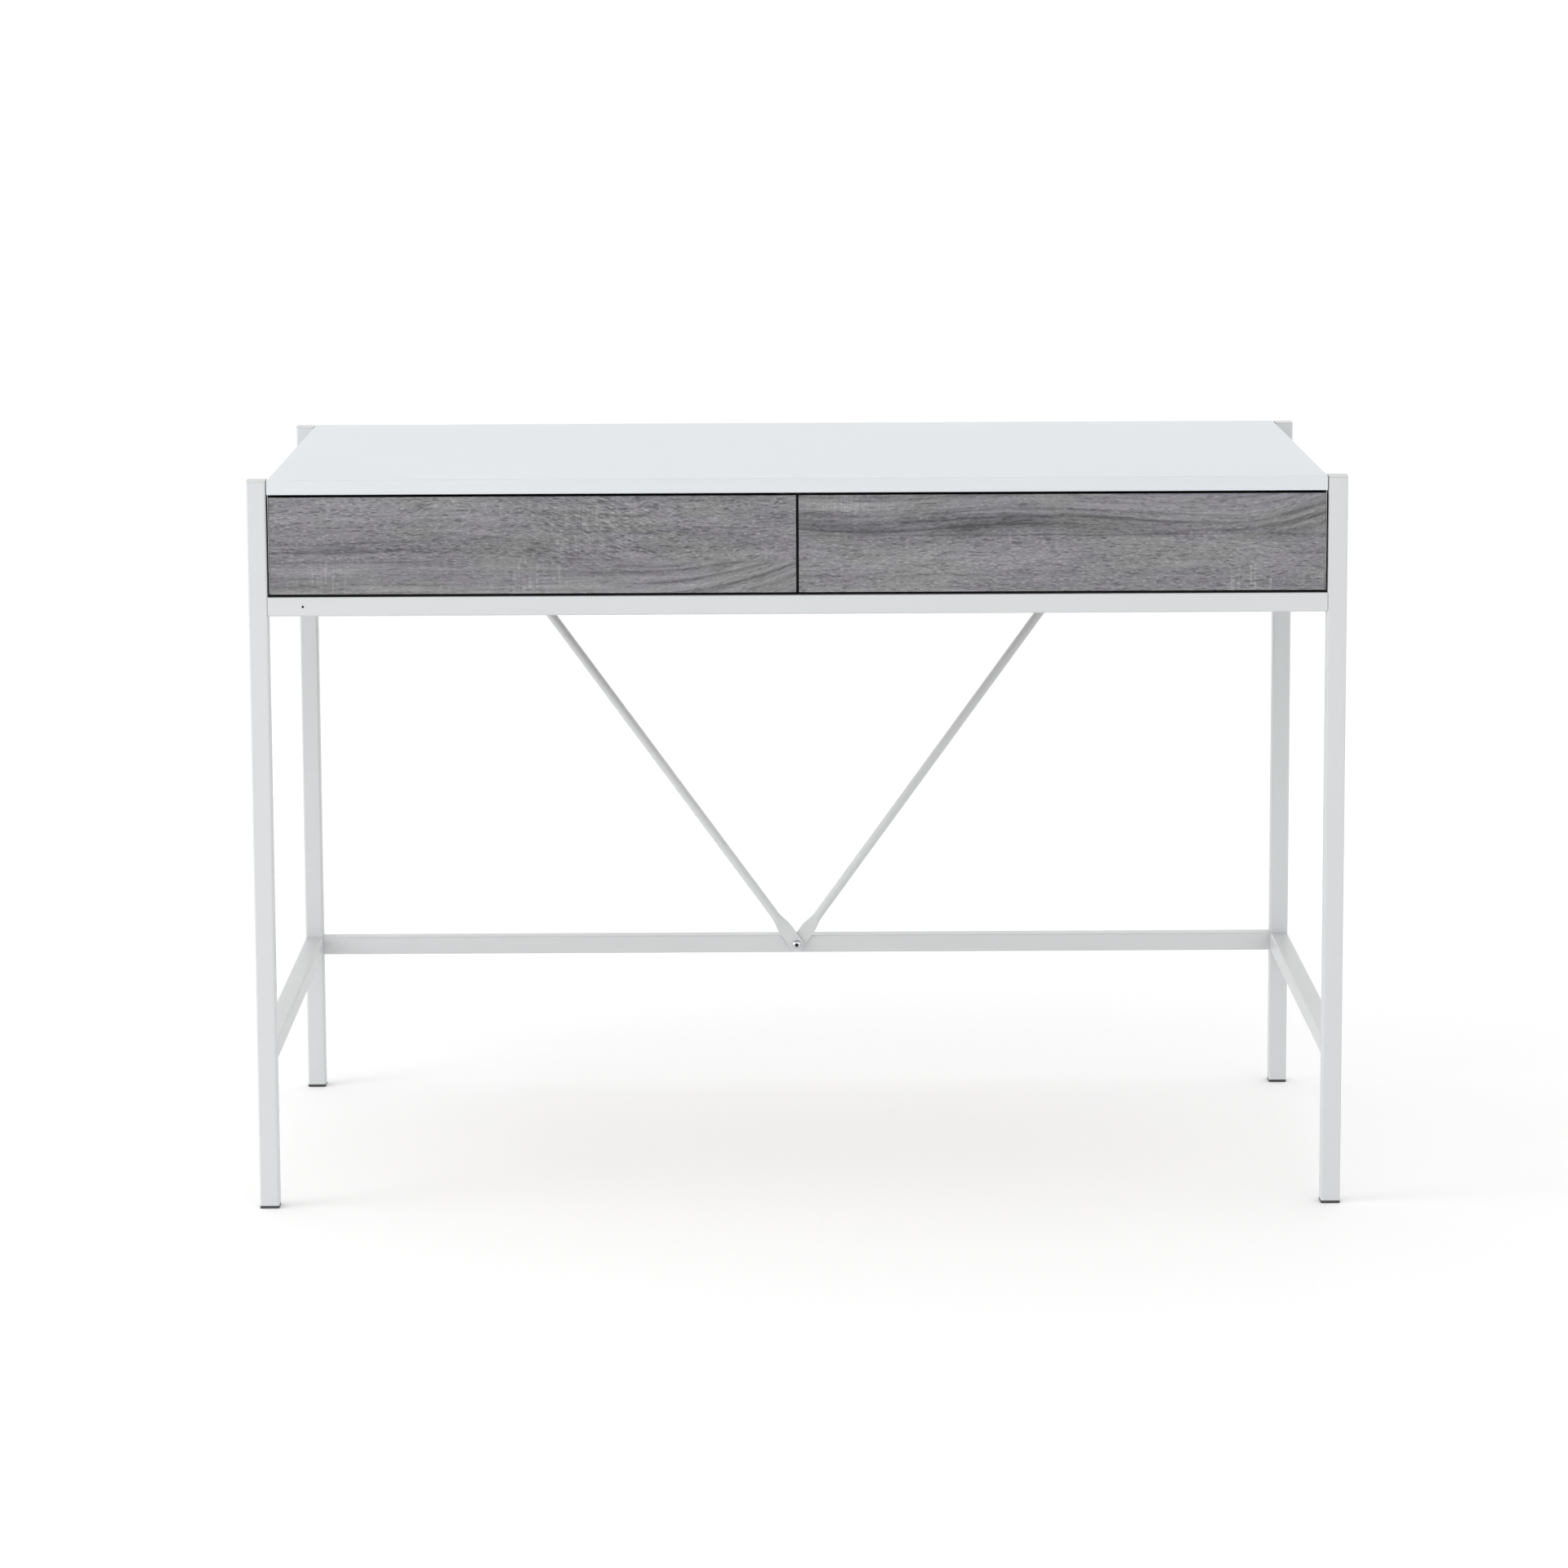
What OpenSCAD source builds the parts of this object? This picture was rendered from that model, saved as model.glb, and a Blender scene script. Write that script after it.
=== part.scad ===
// Writing desk with two drawers: a square-tube steel frame, a laminate top and
// case, and two drawers on side-mounted ball-bearing slides.
// Origin: middle of the desk on the floor. +X right, +Y rear, +Z up, millimetres.

/* [Overall size] */
// Width across the outside of the legs
desk_w = 1124; // [900:1:1400]
// Depth across the outside of the legs
desk_d = 560; // [560:1:720]
// Height of the work surface above the floor
desk_h = 762; // [620:1:950]

/* [Steel frame] */
// Outside width of the square tube
tube_w = 20; // [18:0.5:26]
// Wall of the square tube
tube_wall = 1.2; // [1:0.1:1.6]
// Outside corner radius of the square tube
tube_r = 2; // [1.8:0.1:3]
// Height of the stretchers' underside above the floor
stretcher_z = 155; // [80:1:240]
// Thickness of the plate welded into each end of a bolted rail
plate_t = 3; // [2:0.5:5]
// Diameter of the drain hole in the front rail
drain_d = 2.5; // [2:0.5:5]
// Distance of the drain hole from the left leg
drain_x = 36; // [15:1:100]

/* [Leg ends] */
// Thickness of the cap that shows above each leg tube
cap_t = 2; // [1:0.5:4]
// Thickness of the glide that shows below each leg tube
foot_t = 3; // [2:0.5:8]
// Length of the plug that holds a cap or a glide in its tube
plug_len = 14; // [8:1:30]
// Clearance of a plug in its tube, on each side
plug_gap = 0.1; // [0:0.05:0.3]

/* [Brace] */
// Diameter of the two brace rods
rod_d = 10; // [8:0.5:16]
// Distance of each rod's upper bolt from the middle of the desk
rod_spread = 338; // [200:1:400]
// Width of a rod's flattened end
tab_w = 16; // [14:0.5:20]
// Thickness of a rod's flattened end
tab_t = 2.5; // [2:0.1:4]
// Distance by which a rod stays flat past the bar that it is bolted to
tab_clear = 3; // [2:0.5:8]
// Length over which a rod changes from flat to round
tab_blend = 10; // [6:1:20]
// Step down in diameter where the change of shape enters the round rod
tab_step = 0.3; // [0.2:0.1:0.6]

/* [Bolts and screws] */
// Thread diameter of the frame bolts
bolt_d = 6; // [5:0.5:8]
// Length of a frame bolt under its head
bolt_len = 16; // [14:1:20]
// Diameter of a frame bolt's button head
bolt_head_d = 10.5; // [9:0.5:12]
// Height of a frame bolt's button head
bolt_head_h = 3.3; // [2.5:0.1:4]
// Width across the flats of a frame bolt's hex socket
bolt_key = 4; // [3:0.5:5]
// Diameter of the hole in a leg's outside wall that lets a bolt head through
access_d = 12; // [12:0.5:14]
// Shank diameter of the wood screws
screw_d = 3.5; // [3:0.5:4]
// Head diameter of the wood screws
screw_head_d = 7; // [6:0.5:8]
// Head height of the wood screws
screw_head_h = 2; // [1.5:0.1:2.2]
// Length of a slide screw or latch screw under its head
slide_screw_len = 10; // [8:0.5:12]
// Length of a side-panel screw under its head
panel_screw_len = 19; // [18:0.5:24]
// Diameter of the cam locks in the case panels
cam_d = 15; // [12:0.5:16]
// Depth of the cam locks in the case panels
cam_h = 10; // [8:0.5:11]
// Diameter of the cam locks in the drawer sides
small_cam_d = 12; // [10:0.5:12]
// Depth of the cam locks in the drawer sides
small_cam_h = 8; // [6:0.5:9]
// Distance of a cam lock's centre from the edge that it pulls up to
cam_edge = 24; // [20:1:34]
// Clearance of a bolt, screw or cam in its hole, on the radius
hole_gap = 0.05; // [0.02:0.01:0.15]

/* [Top and case] */
// Thickness of the desktop
top_t = 15; // [12:0.5:25]
// Gap between the desktop's ends and the legs
top_gap = 0.8; // [0.3:0.1:2]
// Thickness of the side panels, the back panel and the divider
panel_t = 15; // [12:0.5:18]
// Height of the drawer opening, from the front rail to the desktop
opening_h = 105; // [95:1:150]

/* [Drawers] */
// Gap all round each drawer front
reveal = 2.5; // [1.5:0.1:4]
// Thickness of the drawer fronts
front_t = 16; // [14:0.5:19]
// Height of the drawer sides
box_h = 75; // [60:1:80]
// Height of the drawer sides' underside above the front rail
box_lift = 12; // [8:1:14]
// Thickness of the drawer sides and backs
side_t = 12; // [10:0.5:15]
// Thickness of the drawer bottoms
bottom_t = 4; // [3:0.5:6]
// Height of a drawer bottom above the underside of its sides
bottom_lift = 8; // [6:0.5:10]
// Depth of the grooves that hold a drawer bottom
groove_depth = 6; // [4:0.5:7]
// Clearance of a drawer bottom in its grooves
groove_gap = 0.3; // [0.1:0.1:0.6]

/* [Drawer slides] */
// Length of a closed drawer slide
slide_len = 400; // [300:10:420]
// Thickness of a slide, from the case to the drawer side
slide_t = 12.7; // [12:0.1:14]
// Height of a slide's outer channel
slide_h = 35; // [33:1:45]
// Thickness of the slides' steel
slide_steel = 1.2; // [1:0.1:1.4]
// Room for the balls between one slide channel and the next
ball_room = 2.4; // [1.8:0.1:2.6]
// Room for the screw heads behind a slide's middle channel
head_room = 2.4; // [2.3:0.1:2.8]
// Distance by which each slide channel stands back from the next
lip_gap = 1.2; // [0.8:0.1:1.5]
// Length by which a slide's middle channel is short at each end
middle_short = 25; // [15:1:40]
// Distance of the slides from the back of the drawer fronts
slide_setback = 10; // [5:1:15]
// Distance of the slide screws from the ends of a slide
slide_screw_in = 32; // [20:1:60]
// Distance between screws that enter the divider from its two faces
stagger = 8; // [6:0.5:12]

/* [Push latches] */
// Length of a latch body
latch_len = 60; // [50:1:70]
// Height of a latch body
latch_h = 14; // [13:0.5:16]
// Diameter of the plunger
plunger_d = 8; // [6:0.5:9]
// Length of the plunger that stands out of the latch body
plunger_out = 6; // [4:0.5:8]
// Length of the plunger inside the latch body
plunger_in = 36; // [25:1:40]
// Gap between the plunger and the closed drawer
plunger_gap = 0.4; // [0.3:0.1:1]
// Distance that the plunger can be pushed in
plunger_travel = 2.5; // [2:0.1:4]
// Thickness of the plate that fastens a latch to the divider
latch_plate_t = 3; // [2:0.5:4]
// Length of the plate's ear at each end of a latch body
latch_ear = 12; // [10:0.5:16]

/* [Hidden] */
$fn = 48;

// Small overlap that makes a cut run past the face it starts from
cut = 1;

// Legs: middle of a leg tube, and the faces that the rails meet
leg_x = (desk_w - tube_w) / 2;
leg_y = (desk_d - tube_w) / 2;
inner_x = desk_w / 2 - tube_w;
inner_y = desk_d / 2 - tube_w;

// Heights: underside of the desktop, top of the rails, middles of the bars
under_z = desk_h - top_t;
rail_top_z = under_z - opening_h;
rail_z = rail_top_z - tube_w / 2;
stretch_z = stretcher_z + tube_w / 2;

// Brace: plane of the rods' centre line, and their rise, lean and length. A rod
// stays flat until its lower corner is past the bar.
rod_y = inner_y - tab_t;
rod_rise = rail_z - stretch_z;
rod_lean = atan2(rod_spread, rod_rise);
rod_len = sqrt(rod_rise * rod_rise + rod_spread * rod_spread);
tab_len = (tube_w / 2 + tab_clear + tab_w / 2 * sin(rod_lean)) / cos(rod_lean);

// Case: the uprights stand between the rails, the back stands on the rear rail
upright_len = 2 * inner_y;
upright_h = under_z - (rail_top_z - tube_w);
panel_x = inner_x - panel_t;
bay_w = panel_x - panel_t / 2;
bay_x = panel_t / 2 + bay_w / 2;
cam_z = under_z - cam_edge;
upright_cam_y = [-inner_y + 60, inner_y - 60];
back_cam_x = [-0.75 * inner_x, -0.3 * inner_x, 0.3 * inner_x, 0.75 * inner_x];
panel_screw_y = [-inner_y + 40, 0, inner_y - 40];

// Drawers: a front fills half the opening, a box hangs between its slides
front_w = inner_x - 1.5 * reveal;
front_x = reveal / 2 + front_w / 2;
front_z = rail_top_z + reveal;
front_h = opening_h - 2 * reveal;
box_y = -desk_d / 2 + front_t;
box_len = slide_len + 2 * slide_setback;
box_w = bay_w - 2 * slide_t;
box_z = rail_top_z + box_lift;
box_in_w = box_w - 2 * side_t;
bottom_z = box_z + bottom_lift;
bottom_w = box_in_w + 2 * (groove_depth - groove_gap);
side_cam_z = [bottom_z + bottom_t + 12, box_z + box_h - 12];
back_screw_z = [bottom_z + bottom_t + 5, box_z + box_h - 8];

// Slides: places along the desk and across one slide, from the case outwards
slide_y = box_y + slide_setback;
slide_z = box_z + box_h / 2;
outer_end = slide_t - 2 * lip_gap;
middle_start = slide_steel + head_room;
middle_end = slide_t - lip_gap;
inner_start = middle_start + slide_steel + lip_gap;
middle_h = slide_h - 2 * (slide_steel + ball_room);
inner_h = middle_h - 2 * (slide_steel + ball_room);

// Latches: the plunger meets the end of the drawer side next to the divider
plunger_x = panel_t / 2 + slide_t + side_t / 2;
plunger_y = box_y + box_len + plunger_gap;
latch_y = plunger_y + plunger_out;

// ---- shapes that repeat ----

module rounded_square(w, r) {
    square([w - 2 * r, w], center = true);
    square([w, w - 2 * r], center = true);
    for (x = [-1, 1], y = [-1, 1])
        translate([x * (w / 2 - r), y * (w / 2 - r)]) circle(r = r);
}

// The outside of a square tube, and the hollow in it less a gap all round
module tube_outline() rounded_square(tube_w, tube_r);
module tube_hollow(gap = 0) {
    rounded_square(tube_w - 2 * (tube_wall + gap), tube_r - tube_wall);
}

// A square tube that stands on Z = 0
module tube(len) {
    linear_extrude(height = len) difference() {
        tube_outline();
        tube_hollow();
    }
}

// The same tube lying along X or along Y, centred
module tube_along_x(len) translate([-len / 2, 0, 0]) rotate([90, 0, 90]) tube(len);
module tube_along_y(len) translate([0, len / 2, 0]) rotate([90, 0, 0]) tube(len);

// A low dome with its flat side on Z = 0, pointing down
module dome(d, h) {
    big_r = (d * d / 4 + h * h) / (2 * h);
    intersection() {
        translate([0, 0, -h]) cylinder(d = d, h = h);
        translate([0, 0, big_r - h]) sphere(r = big_r);
    }
}

// Two crossed slots, cut down from Z = 0
module cross_slot(reach, wide, deep) {
    for (turn = [0, 90]) rotate([0, 0, turn])
        translate([-reach / 2, -wide / 2, -deep]) cube([reach, wide, deep + cut]);
}

// A frame bolt: the head is below Z = 0 and the thread above it
module frame_bolt() {
    difference() {
        union() {
            dome(bolt_head_d, bolt_head_h);
            cylinder(d = bolt_d, h = bolt_len);
        }
        translate([0, 0, -bolt_head_h - cut])
            cylinder(d = bolt_key / cos(30), h = cut + 0.65 * bolt_head_h, $fn = 6);
    }
}

// A wood screw, the same way round
module wood_screw(len) {
    difference() {
        union() {
            dome(screw_head_d, screw_head_h);
            cylinder(d = screw_d, h = len);
        }
        translate([0, 0, -screw_head_h]) mirror([0, 0, 1])
            cross_slot(0.55 * screw_head_d, 0.9, 0.6 * screw_head_h);
    }
}

// A cam lock: its face is on Z = 0 and its body is below it
module cam_lock(d, h) {
    difference() {
        translate([0, 0, -h]) cylinder(d = d, h = h);
        cross_slot(0.6 * d, 1.4, 2.5);
    }
}

module hole(d, len) cylinder(d = d + 2 * hole_gap, h = len);

// ---- frame ----

// Heights at which a leg takes a bolted rail: front legs one, rear legs two
function bolt_heights(end) = end < 0 ? [rail_z] : [rail_z, stretch_z];

// Puts its children at a leg's bolts, pointing into the rail from the seat
module at_leg_bolts(side, end) {
    for (z = bolt_heights(end))
        translate([side * (inner_x + tube_wall), end * leg_y, z])
            rotate([0, -side * 90, 0]) children();
}

module leg(side, end) {
    color("white") difference() {
        translate([side * leg_x, end * leg_y, foot_t]) tube(desk_h - cap_t - foot_t);
        at_leg_bolts(side, end) {
            translate([0, 0, -tube_wall]) hole(bolt_d, 3 * tube_wall);
            translate([0, 0, -tube_w]) cylinder(d = access_d, h = tube_w - 2 * tube_wall);
        }
    }
}

module leg_cap(side, end) {
    color("gainsboro") translate([side * leg_x, end * leg_y, desk_h - cap_t]) {
        linear_extrude(height = cap_t) tube_outline();
        translate([0, 0, -plug_len]) linear_extrude(height = plug_len + cap_t)
            tube_hollow(plug_gap);
    }
}

module leg_foot(side, end) {
    color("dimgray") translate([side * leg_x, end * leg_y, 0]) {
        linear_extrude(height = foot_t) tube_outline();
        linear_extrude(height = foot_t + plug_len) tube_hollow(plug_gap);
    }
}

// A rail with a tapped plate welded into each end, centred along X
module bolted_rail() {
    len = 2 * inner_x;
    difference() {
        union() {
            tube_along_x(len);
            for (side = [-1, 1])
                translate([side * (len / 2 - plate_t / 2) - plate_t / 2, 0, 0])
                    rotate([90, 0, 90]) linear_extrude(height = plate_t) tube_hollow();
        }
        for (side = [-1, 1]) translate([side * (len / 2 + cut), 0, 0])
            rotate([0, -side * 90, 0]) hole(bolt_d, plate_t + 2 * cut);
    }
}

// Puts its children at a brace bolt, pointing rearwards from its seat
module at_brace_bolts() {
    translate([0, inner_y - 2 * tab_t, stretch_z]) rotate([-90, 0, 0]) children();
    for (side = [-1, 1])
        translate([side * rod_spread, inner_y - tab_t, rail_z])
            rotate([-90, 0, 0]) children();
}

module front_rail() {
    color("white") difference() {
        translate([0, -leg_y, rail_z]) bolted_rail();
        translate([-inner_x + drain_x, -desk_d / 2 - cut, rail_z])
            rotate([-90, 0, 0]) cylinder(d = drain_d, h = tube_wall + 2 * cut);
    }
}

// The rear rail and the rear stretcher: bolted rails that also take brace bolts
module rear_bar(z) {
    color("white") difference() {
        translate([0, leg_y, z]) bolted_rail();
        at_brace_bolts() hole(bolt_d, 2 * tab_t + 3 * tube_wall);
    }
}

module side_bar(side, z) {
    color("white") translate([side * leg_x, 0, z]) tube_along_y(2 * inner_y);
}

// An upper side rail: a side bar that also takes the side panel's screws
module side_rail(side) {
    difference() {
        side_bar(side, rail_z);
        at_panel_screws(side) hole(screw_d, panel_screw_len + cut);
    }
}

// One flattened end of a brace rod: its bolt is at the origin, the rod is up
// Z, and the flat lies on the plane Y = 0, in front of it or behind it
module rod_end(front) {
    flat_y = front ? -tab_t : 0;
    translate([0, flat_y, 0]) rotate([-90, 0, 0]) cylinder(d = tab_w, h = tab_t);
    translate([-tab_w / 2, flat_y, 0]) cube([tab_w, tab_t, tab_len]);
    hull() {
        translate([-tab_w / 2, flat_y, tab_len - 1]) cube([tab_w, tab_t, 1]);
        translate([0, 0, tab_len + tab_blend])
            cylinder(d = rod_d - tab_step, h = 1, $fn = 32);
    }
}

module brace_rod(side) {
    round_z = tab_len + tab_blend;
    color("white") translate([0, rod_y, stretch_z]) rotate([0, side * rod_lean, 0])
        difference() {
            union() {
                rod_end(side < 0);
                translate([0, 0, round_z])
                    cylinder(d = rod_d, h = rod_len - 2 * round_z);
                translate([0, 0, rod_len]) mirror([0, 0, 1]) rod_end(false);
            }
            for (z = [0, rod_len]) translate([0, -tab_t - cut, z])
                rotate([-90, 0, 0]) hole(bolt_d, 2 * (tab_t + cut));
        }
}

module frame_bolts() {
    color("silver") {
        for (side = [-1, 1], end = [-1, 1]) at_leg_bolts(side, end) frame_bolt();
        at_brace_bolts() frame_bolt();
    }
}

// ---- top and case ----

module desktop() {
    color("whitesmoke") translate([-inner_x + top_gap, -desk_d / 2, under_z])
        cube([2 * (inner_x - top_gap), desk_d, top_t]);
}

// Puts its children on the inner faces of the case, pointing into a bay
module at_side_panel_cams(side) {
    for (y = upright_cam_y) translate([side * panel_x, y, cam_z])
        rotate([0, -side * 90, 0]) children();
    translate([side * panel_x, inner_y - cam_edge, slide_z])
        rotate([0, -side * 90, 0]) children();
}
module at_divider_cams() {
    for (y = upright_cam_y) translate([panel_t / 2, y, cam_z])
        rotate([0, 90, 0]) children();
}
module at_back_cams() {
    for (x = back_cam_x) translate([x, inner_y, cam_z])
        rotate([90, 0, 0]) children();
}

// Puts its children at the screws that hold a side panel to its side rail,
// pointing outwards from the panel's inner face
module at_panel_screws(side) {
    for (y = panel_screw_y) translate([side * panel_x, y, rail_z])
        rotate([0, side * 90, 0]) children();
}

module upright(x) {
    translate([x - panel_t / 2, -inner_y, under_z - upright_h])
        cube([panel_t, upright_len, upright_h]);
}

// Puts its children at the screws of one outer slide channel, pointing into
// the board that it is fastened to, from the inside of the channel
module at_outer_screws(drawer, side) {
    shift = drawer > 0 ? stagger : 0;
    for (y = [slide_screw_in + shift, slide_len - slide_screw_in + shift])
        translate([
            drawer * bay_x + side * (bay_w / 2 - slide_steel), slide_y + y, slide_z
        ]) rotate([0, side * 90, 0]) children();
}

// Puts its children at the screws of one latch plate, pointing into the divider
module at_latch_screws(drawer) {
    for (y = [-latch_ear / 2, latch_len + latch_ear / 2])
        translate([
            drawer * (panel_t / 2 + latch_plate_t), latch_y + y, slide_z + drawer * 3
        ]) rotate([0, -drawer * 90, 0]) children();
}

module side_panel(side) {
    color("whitesmoke") difference() {
        upright(side * (inner_x - panel_t / 2));
        at_side_panel_cams(side) translate([0, 0, -cam_h]) hole(cam_d, cam_h + cut);
        at_panel_screws(side) translate([0, 0, -cut])
            hole(screw_d, panel_t + 2 * cut);
        at_outer_screws(side, side) hole(screw_d, slide_screw_len + cut);
    }
}

module centre_divider() {
    color("whitesmoke") difference() {
        upright(0);
        at_divider_cams() translate([0, 0, -cam_h]) hole(cam_d, cam_h + cut);
        for (drawer = [-1, 1]) {
            at_outer_screws(drawer, -drawer) hole(screw_d, slide_screw_len + cut);
            at_latch_screws(drawer) hole(screw_d, slide_screw_len + cut);
        }
    }
}

module back_panel() {
    color("whitesmoke") difference() {
        translate([-inner_x, inner_y, rail_top_z])
            cube([2 * inner_x, panel_t, opening_h]);
        at_back_cams() translate([0, 0, -cam_h]) hole(cam_d, cam_h + cut);
    }
}

module panel_cams() {
    color("silver") {
        for (side = [-1, 1]) at_side_panel_cams(side) cam_lock(cam_d, cam_h);
        at_divider_cams() cam_lock(cam_d, cam_h);
        at_back_cams() cam_lock(cam_d, cam_h);
    }
}

module panel_screws() {
    color("silver") for (side = [-1, 1])
        at_panel_screws(side) wood_screw(panel_screw_len);
}

module slide_screws() {
    color("silver") for (drawer = [-1, 1]) {
        for (side = [-1, 1])
            at_outer_screws(drawer, side) wood_screw(slide_screw_len);
        at_latch_screws(drawer) wood_screw(slide_screw_len);
    }
}

// ---- drawer slides ----

// A channel's outline from start to end across the slide, its web at the start
module channel(start, end, h) {
    translate([start, -h / 2]) difference() {
        square([end - start, h]);
        translate([slide_steel, slide_steel])
            square([end - start, h - 2 * slide_steel]);
    }
}

// Lays an outline along the desk at one slide, from the case to the drawer
module along_slide(drawer, side, y, len) {
    translate([drawer * bay_x + side * bay_w / 2, y + len, slide_z])
        mirror([side > 0 ? 1 : 0, 0, 0])
            rotate([90, 0, 0]) linear_extrude(height = len) children();
}

module slide_outer(drawer, side) {
    color("silver") difference() {
        along_slide(drawer, side, slide_y, slide_len) channel(0, outer_end, slide_h);
        at_outer_screws(drawer, side) translate([0, 0, -cut])
            hole(screw_d, slide_steel + 2 * cut);
    }
}

module slide_middle(drawer, side) {
    color("silver")
        along_slide(drawer, side, slide_y + middle_short, slide_len - 2 * middle_short)
            channel(middle_start, middle_end, middle_h);
}

// Puts its children at the screws of one inner slide channel, pointing into
// the drawer side, from the inside of the channel
module at_inner_screws(drawer, side) {
    for (y = [slide_screw_in, slide_len - slide_screw_in])
        translate([
            drawer * bay_x + side * (box_w / 2 + slide_steel), slide_y + y, slide_z
        ]) rotate([0, -side * 90, 0]) children();
}

module slide_inner(drawer, side) {
    color("silver") difference() {
        along_slide(drawer, side, slide_y, slide_len)
            translate([slide_t, 0]) mirror([1, 0])
                channel(0, slide_t - inner_start, inner_h);
        at_inner_screws(drawer, side) translate([0, 0, -cut])
            hole(screw_d, slide_steel + 2 * cut);
    }
}

// ---- drawers ----

module drawer_front(drawer) {
    color("gray") difference() {
        translate([drawer * front_x - front_w / 2, -desk_d / 2, front_z])
            cube([front_w, front_t, front_h]);
        translate([drawer * bay_x - bottom_w / 2 - groove_gap, box_y - groove_depth,
                   bottom_z])
            cube([bottom_w + 2 * groove_gap, groove_depth + cut,
                  bottom_t + groove_gap]);
    }
}

// Puts its children on the inner face of a drawer side, pointing into the box
module at_side_cams(drawer, side) {
    for (z = side_cam_z)
        translate([drawer * bay_x + side * box_in_w / 2, box_y + cam_edge, z])
            rotate([0, -side * 90, 0]) children();
}

// Puts its children at the screws that hold a drawer back, pointing inwards
module at_back_screws(drawer, side) {
    for (z = back_screw_z) translate([
        drawer * bay_x + side * (box_w / 2 - screw_head_h),
        box_y + box_len - side_t / 2, z
    ]) rotate([0, -side * 90, 0]) children();
}

module drawer_side(drawer, side) {
    color("whitesmoke") difference() {
        translate([
            drawer * bay_x + side * (box_w - side_t) / 2 - side_t / 2, box_y, box_z
        ]) cube([side_t, box_len, box_h]);
        translate([
            drawer * bay_x + side * (box_in_w / 2 + groove_depth / 2)
                - groove_depth / 2 - (side > 0 ? cut : 0),
            box_y - cut, bottom_z
        ]) cube([groove_depth + cut, box_len + 2 * cut, bottom_t + groove_gap]);
        at_side_cams(drawer, side) translate([0, 0, -small_cam_h])
            hole(small_cam_d, small_cam_h + cut);
        at_inner_screws(drawer, side) hole(screw_d, slide_screw_len + cut);
        at_back_screws(drawer, side) {
            translate([0, 0, -cut]) hole(screw_d, side_t + 2 * cut);
            translate([0, 0, -screw_head_h]) hole(screw_head_d, screw_head_h);
        }
    }
}

module drawer_back(drawer) {
    back_z = bottom_z + bottom_t;
    color("whitesmoke") difference() {
        translate([drawer * bay_x - box_in_w / 2, box_y + box_len - side_t, back_z])
            cube([box_in_w, side_t, box_z + box_h - back_z]);
        for (side = [-1, 1])
            at_back_screws(drawer, side) hole(screw_d, panel_screw_len + cut);
    }
}

module drawer_bottom(drawer) {
    color("gainsboro")
        translate([drawer * bay_x - bottom_w / 2,
                   box_y - groove_depth + groove_gap, bottom_z])
            cube([bottom_w, box_len + groove_depth - groove_gap, bottom_t]);
}

module drawer_cams(drawer) {
    color("silver") for (side = [-1, 1])
        at_side_cams(drawer, side) cam_lock(small_cam_d, small_cam_h);
}

module drawer_screws(drawer) {
    color("silver") for (side = [-1, 1]) {
        at_inner_screws(drawer, side) wood_screw(slide_screw_len);
        at_back_screws(drawer, side) wood_screw(panel_screw_len);
    }
}

// ---- push latches ----

module latch_body(drawer) {
    wide = plunger_x + latch_h / 2 - panel_t / 2;
    color("lightgray") difference() {
        union() {
            translate([drawer * (panel_t / 2 + wide / 2) - wide / 2, latch_y,
                       slide_z - latch_h / 2])
                cube([wide, latch_len, latch_h]);
            translate([
                drawer * (panel_t + latch_plate_t) / 2 - latch_plate_t / 2,
                latch_y - latch_ear, slide_z - latch_h / 2
            ]) cube([latch_plate_t, latch_len + 2 * latch_ear, latch_h]);
        }
        translate([drawer * plunger_x, latch_y - cut, slide_z]) rotate([-90, 0, 0])
            hole(plunger_d, plunger_in + plunger_travel + 8 + cut);
        at_latch_screws(drawer) translate([0, 0, -cut])
            hole(screw_d, latch_plate_t + 2 * cut);
    }
}

module latch_plunger(drawer) {
    tip = plunger_d / 4;
    color("dimgray") translate([drawer * plunger_x, plunger_y + tip, slide_z])
        rotate([-90, 0, 0]) {
            dome(plunger_d, tip);
            cylinder(d = plunger_d, h = plunger_out + plunger_in - tip);
        }
}

leg(-1, -1);  // front_left_leg
leg(1, -1);  // front_right_leg
leg(-1, 1);  // rear_left_leg
leg(1, 1);  // rear_right_leg
leg_cap(-1, -1);  // front_left_cap
leg_cap(1, -1);  // front_right_cap
leg_cap(-1, 1);  // rear_left_cap
leg_cap(1, 1);  // rear_right_cap
leg_foot(-1, -1);  // front_left_foot
leg_foot(1, -1);  // front_right_foot
leg_foot(-1, 1);  // rear_left_foot
leg_foot(1, 1);  // rear_right_foot
side_bar(-1, stretch_z);  // left_stretcher
side_bar(1, stretch_z);  // right_stretcher
rear_bar(stretch_z);  // rear_stretcher
front_rail();
rear_bar(rail_z);  // rear_rail
side_rail(-1);  // left_side_rail
side_rail(1);  // right_side_rail
brace_rod(-1);  // left_brace_rod
brace_rod(1);  // right_brace_rod
frame_bolts();
desktop();
side_panel(-1);  // left_side_panel
side_panel(1);  // right_side_panel
back_panel();
centre_divider();
panel_cams();
panel_screws();
slide_screws();
slide_outer(-1, -1);  // left_drawer_slide_outer_l
slide_outer(-1, 1);  // left_drawer_slide_outer_r
slide_middle(-1, -1);  // left_drawer_slide_middle_l
slide_middle(-1, 1);  // left_drawer_slide_middle_r
slide_inner(-1, -1);  // left_drawer_slide_inner_l
slide_inner(-1, 1);  // left_drawer_slide_inner_r
slide_outer(1, -1);  // right_drawer_slide_outer_l
slide_outer(1, 1);  // right_drawer_slide_outer_r
slide_middle(1, -1);  // right_drawer_slide_middle_l
slide_middle(1, 1);  // right_drawer_slide_middle_r
slide_inner(1, -1);  // right_drawer_slide_inner_l
slide_inner(1, 1);  // right_drawer_slide_inner_r
drawer_front(-1);  // left_drawer_front
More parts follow.
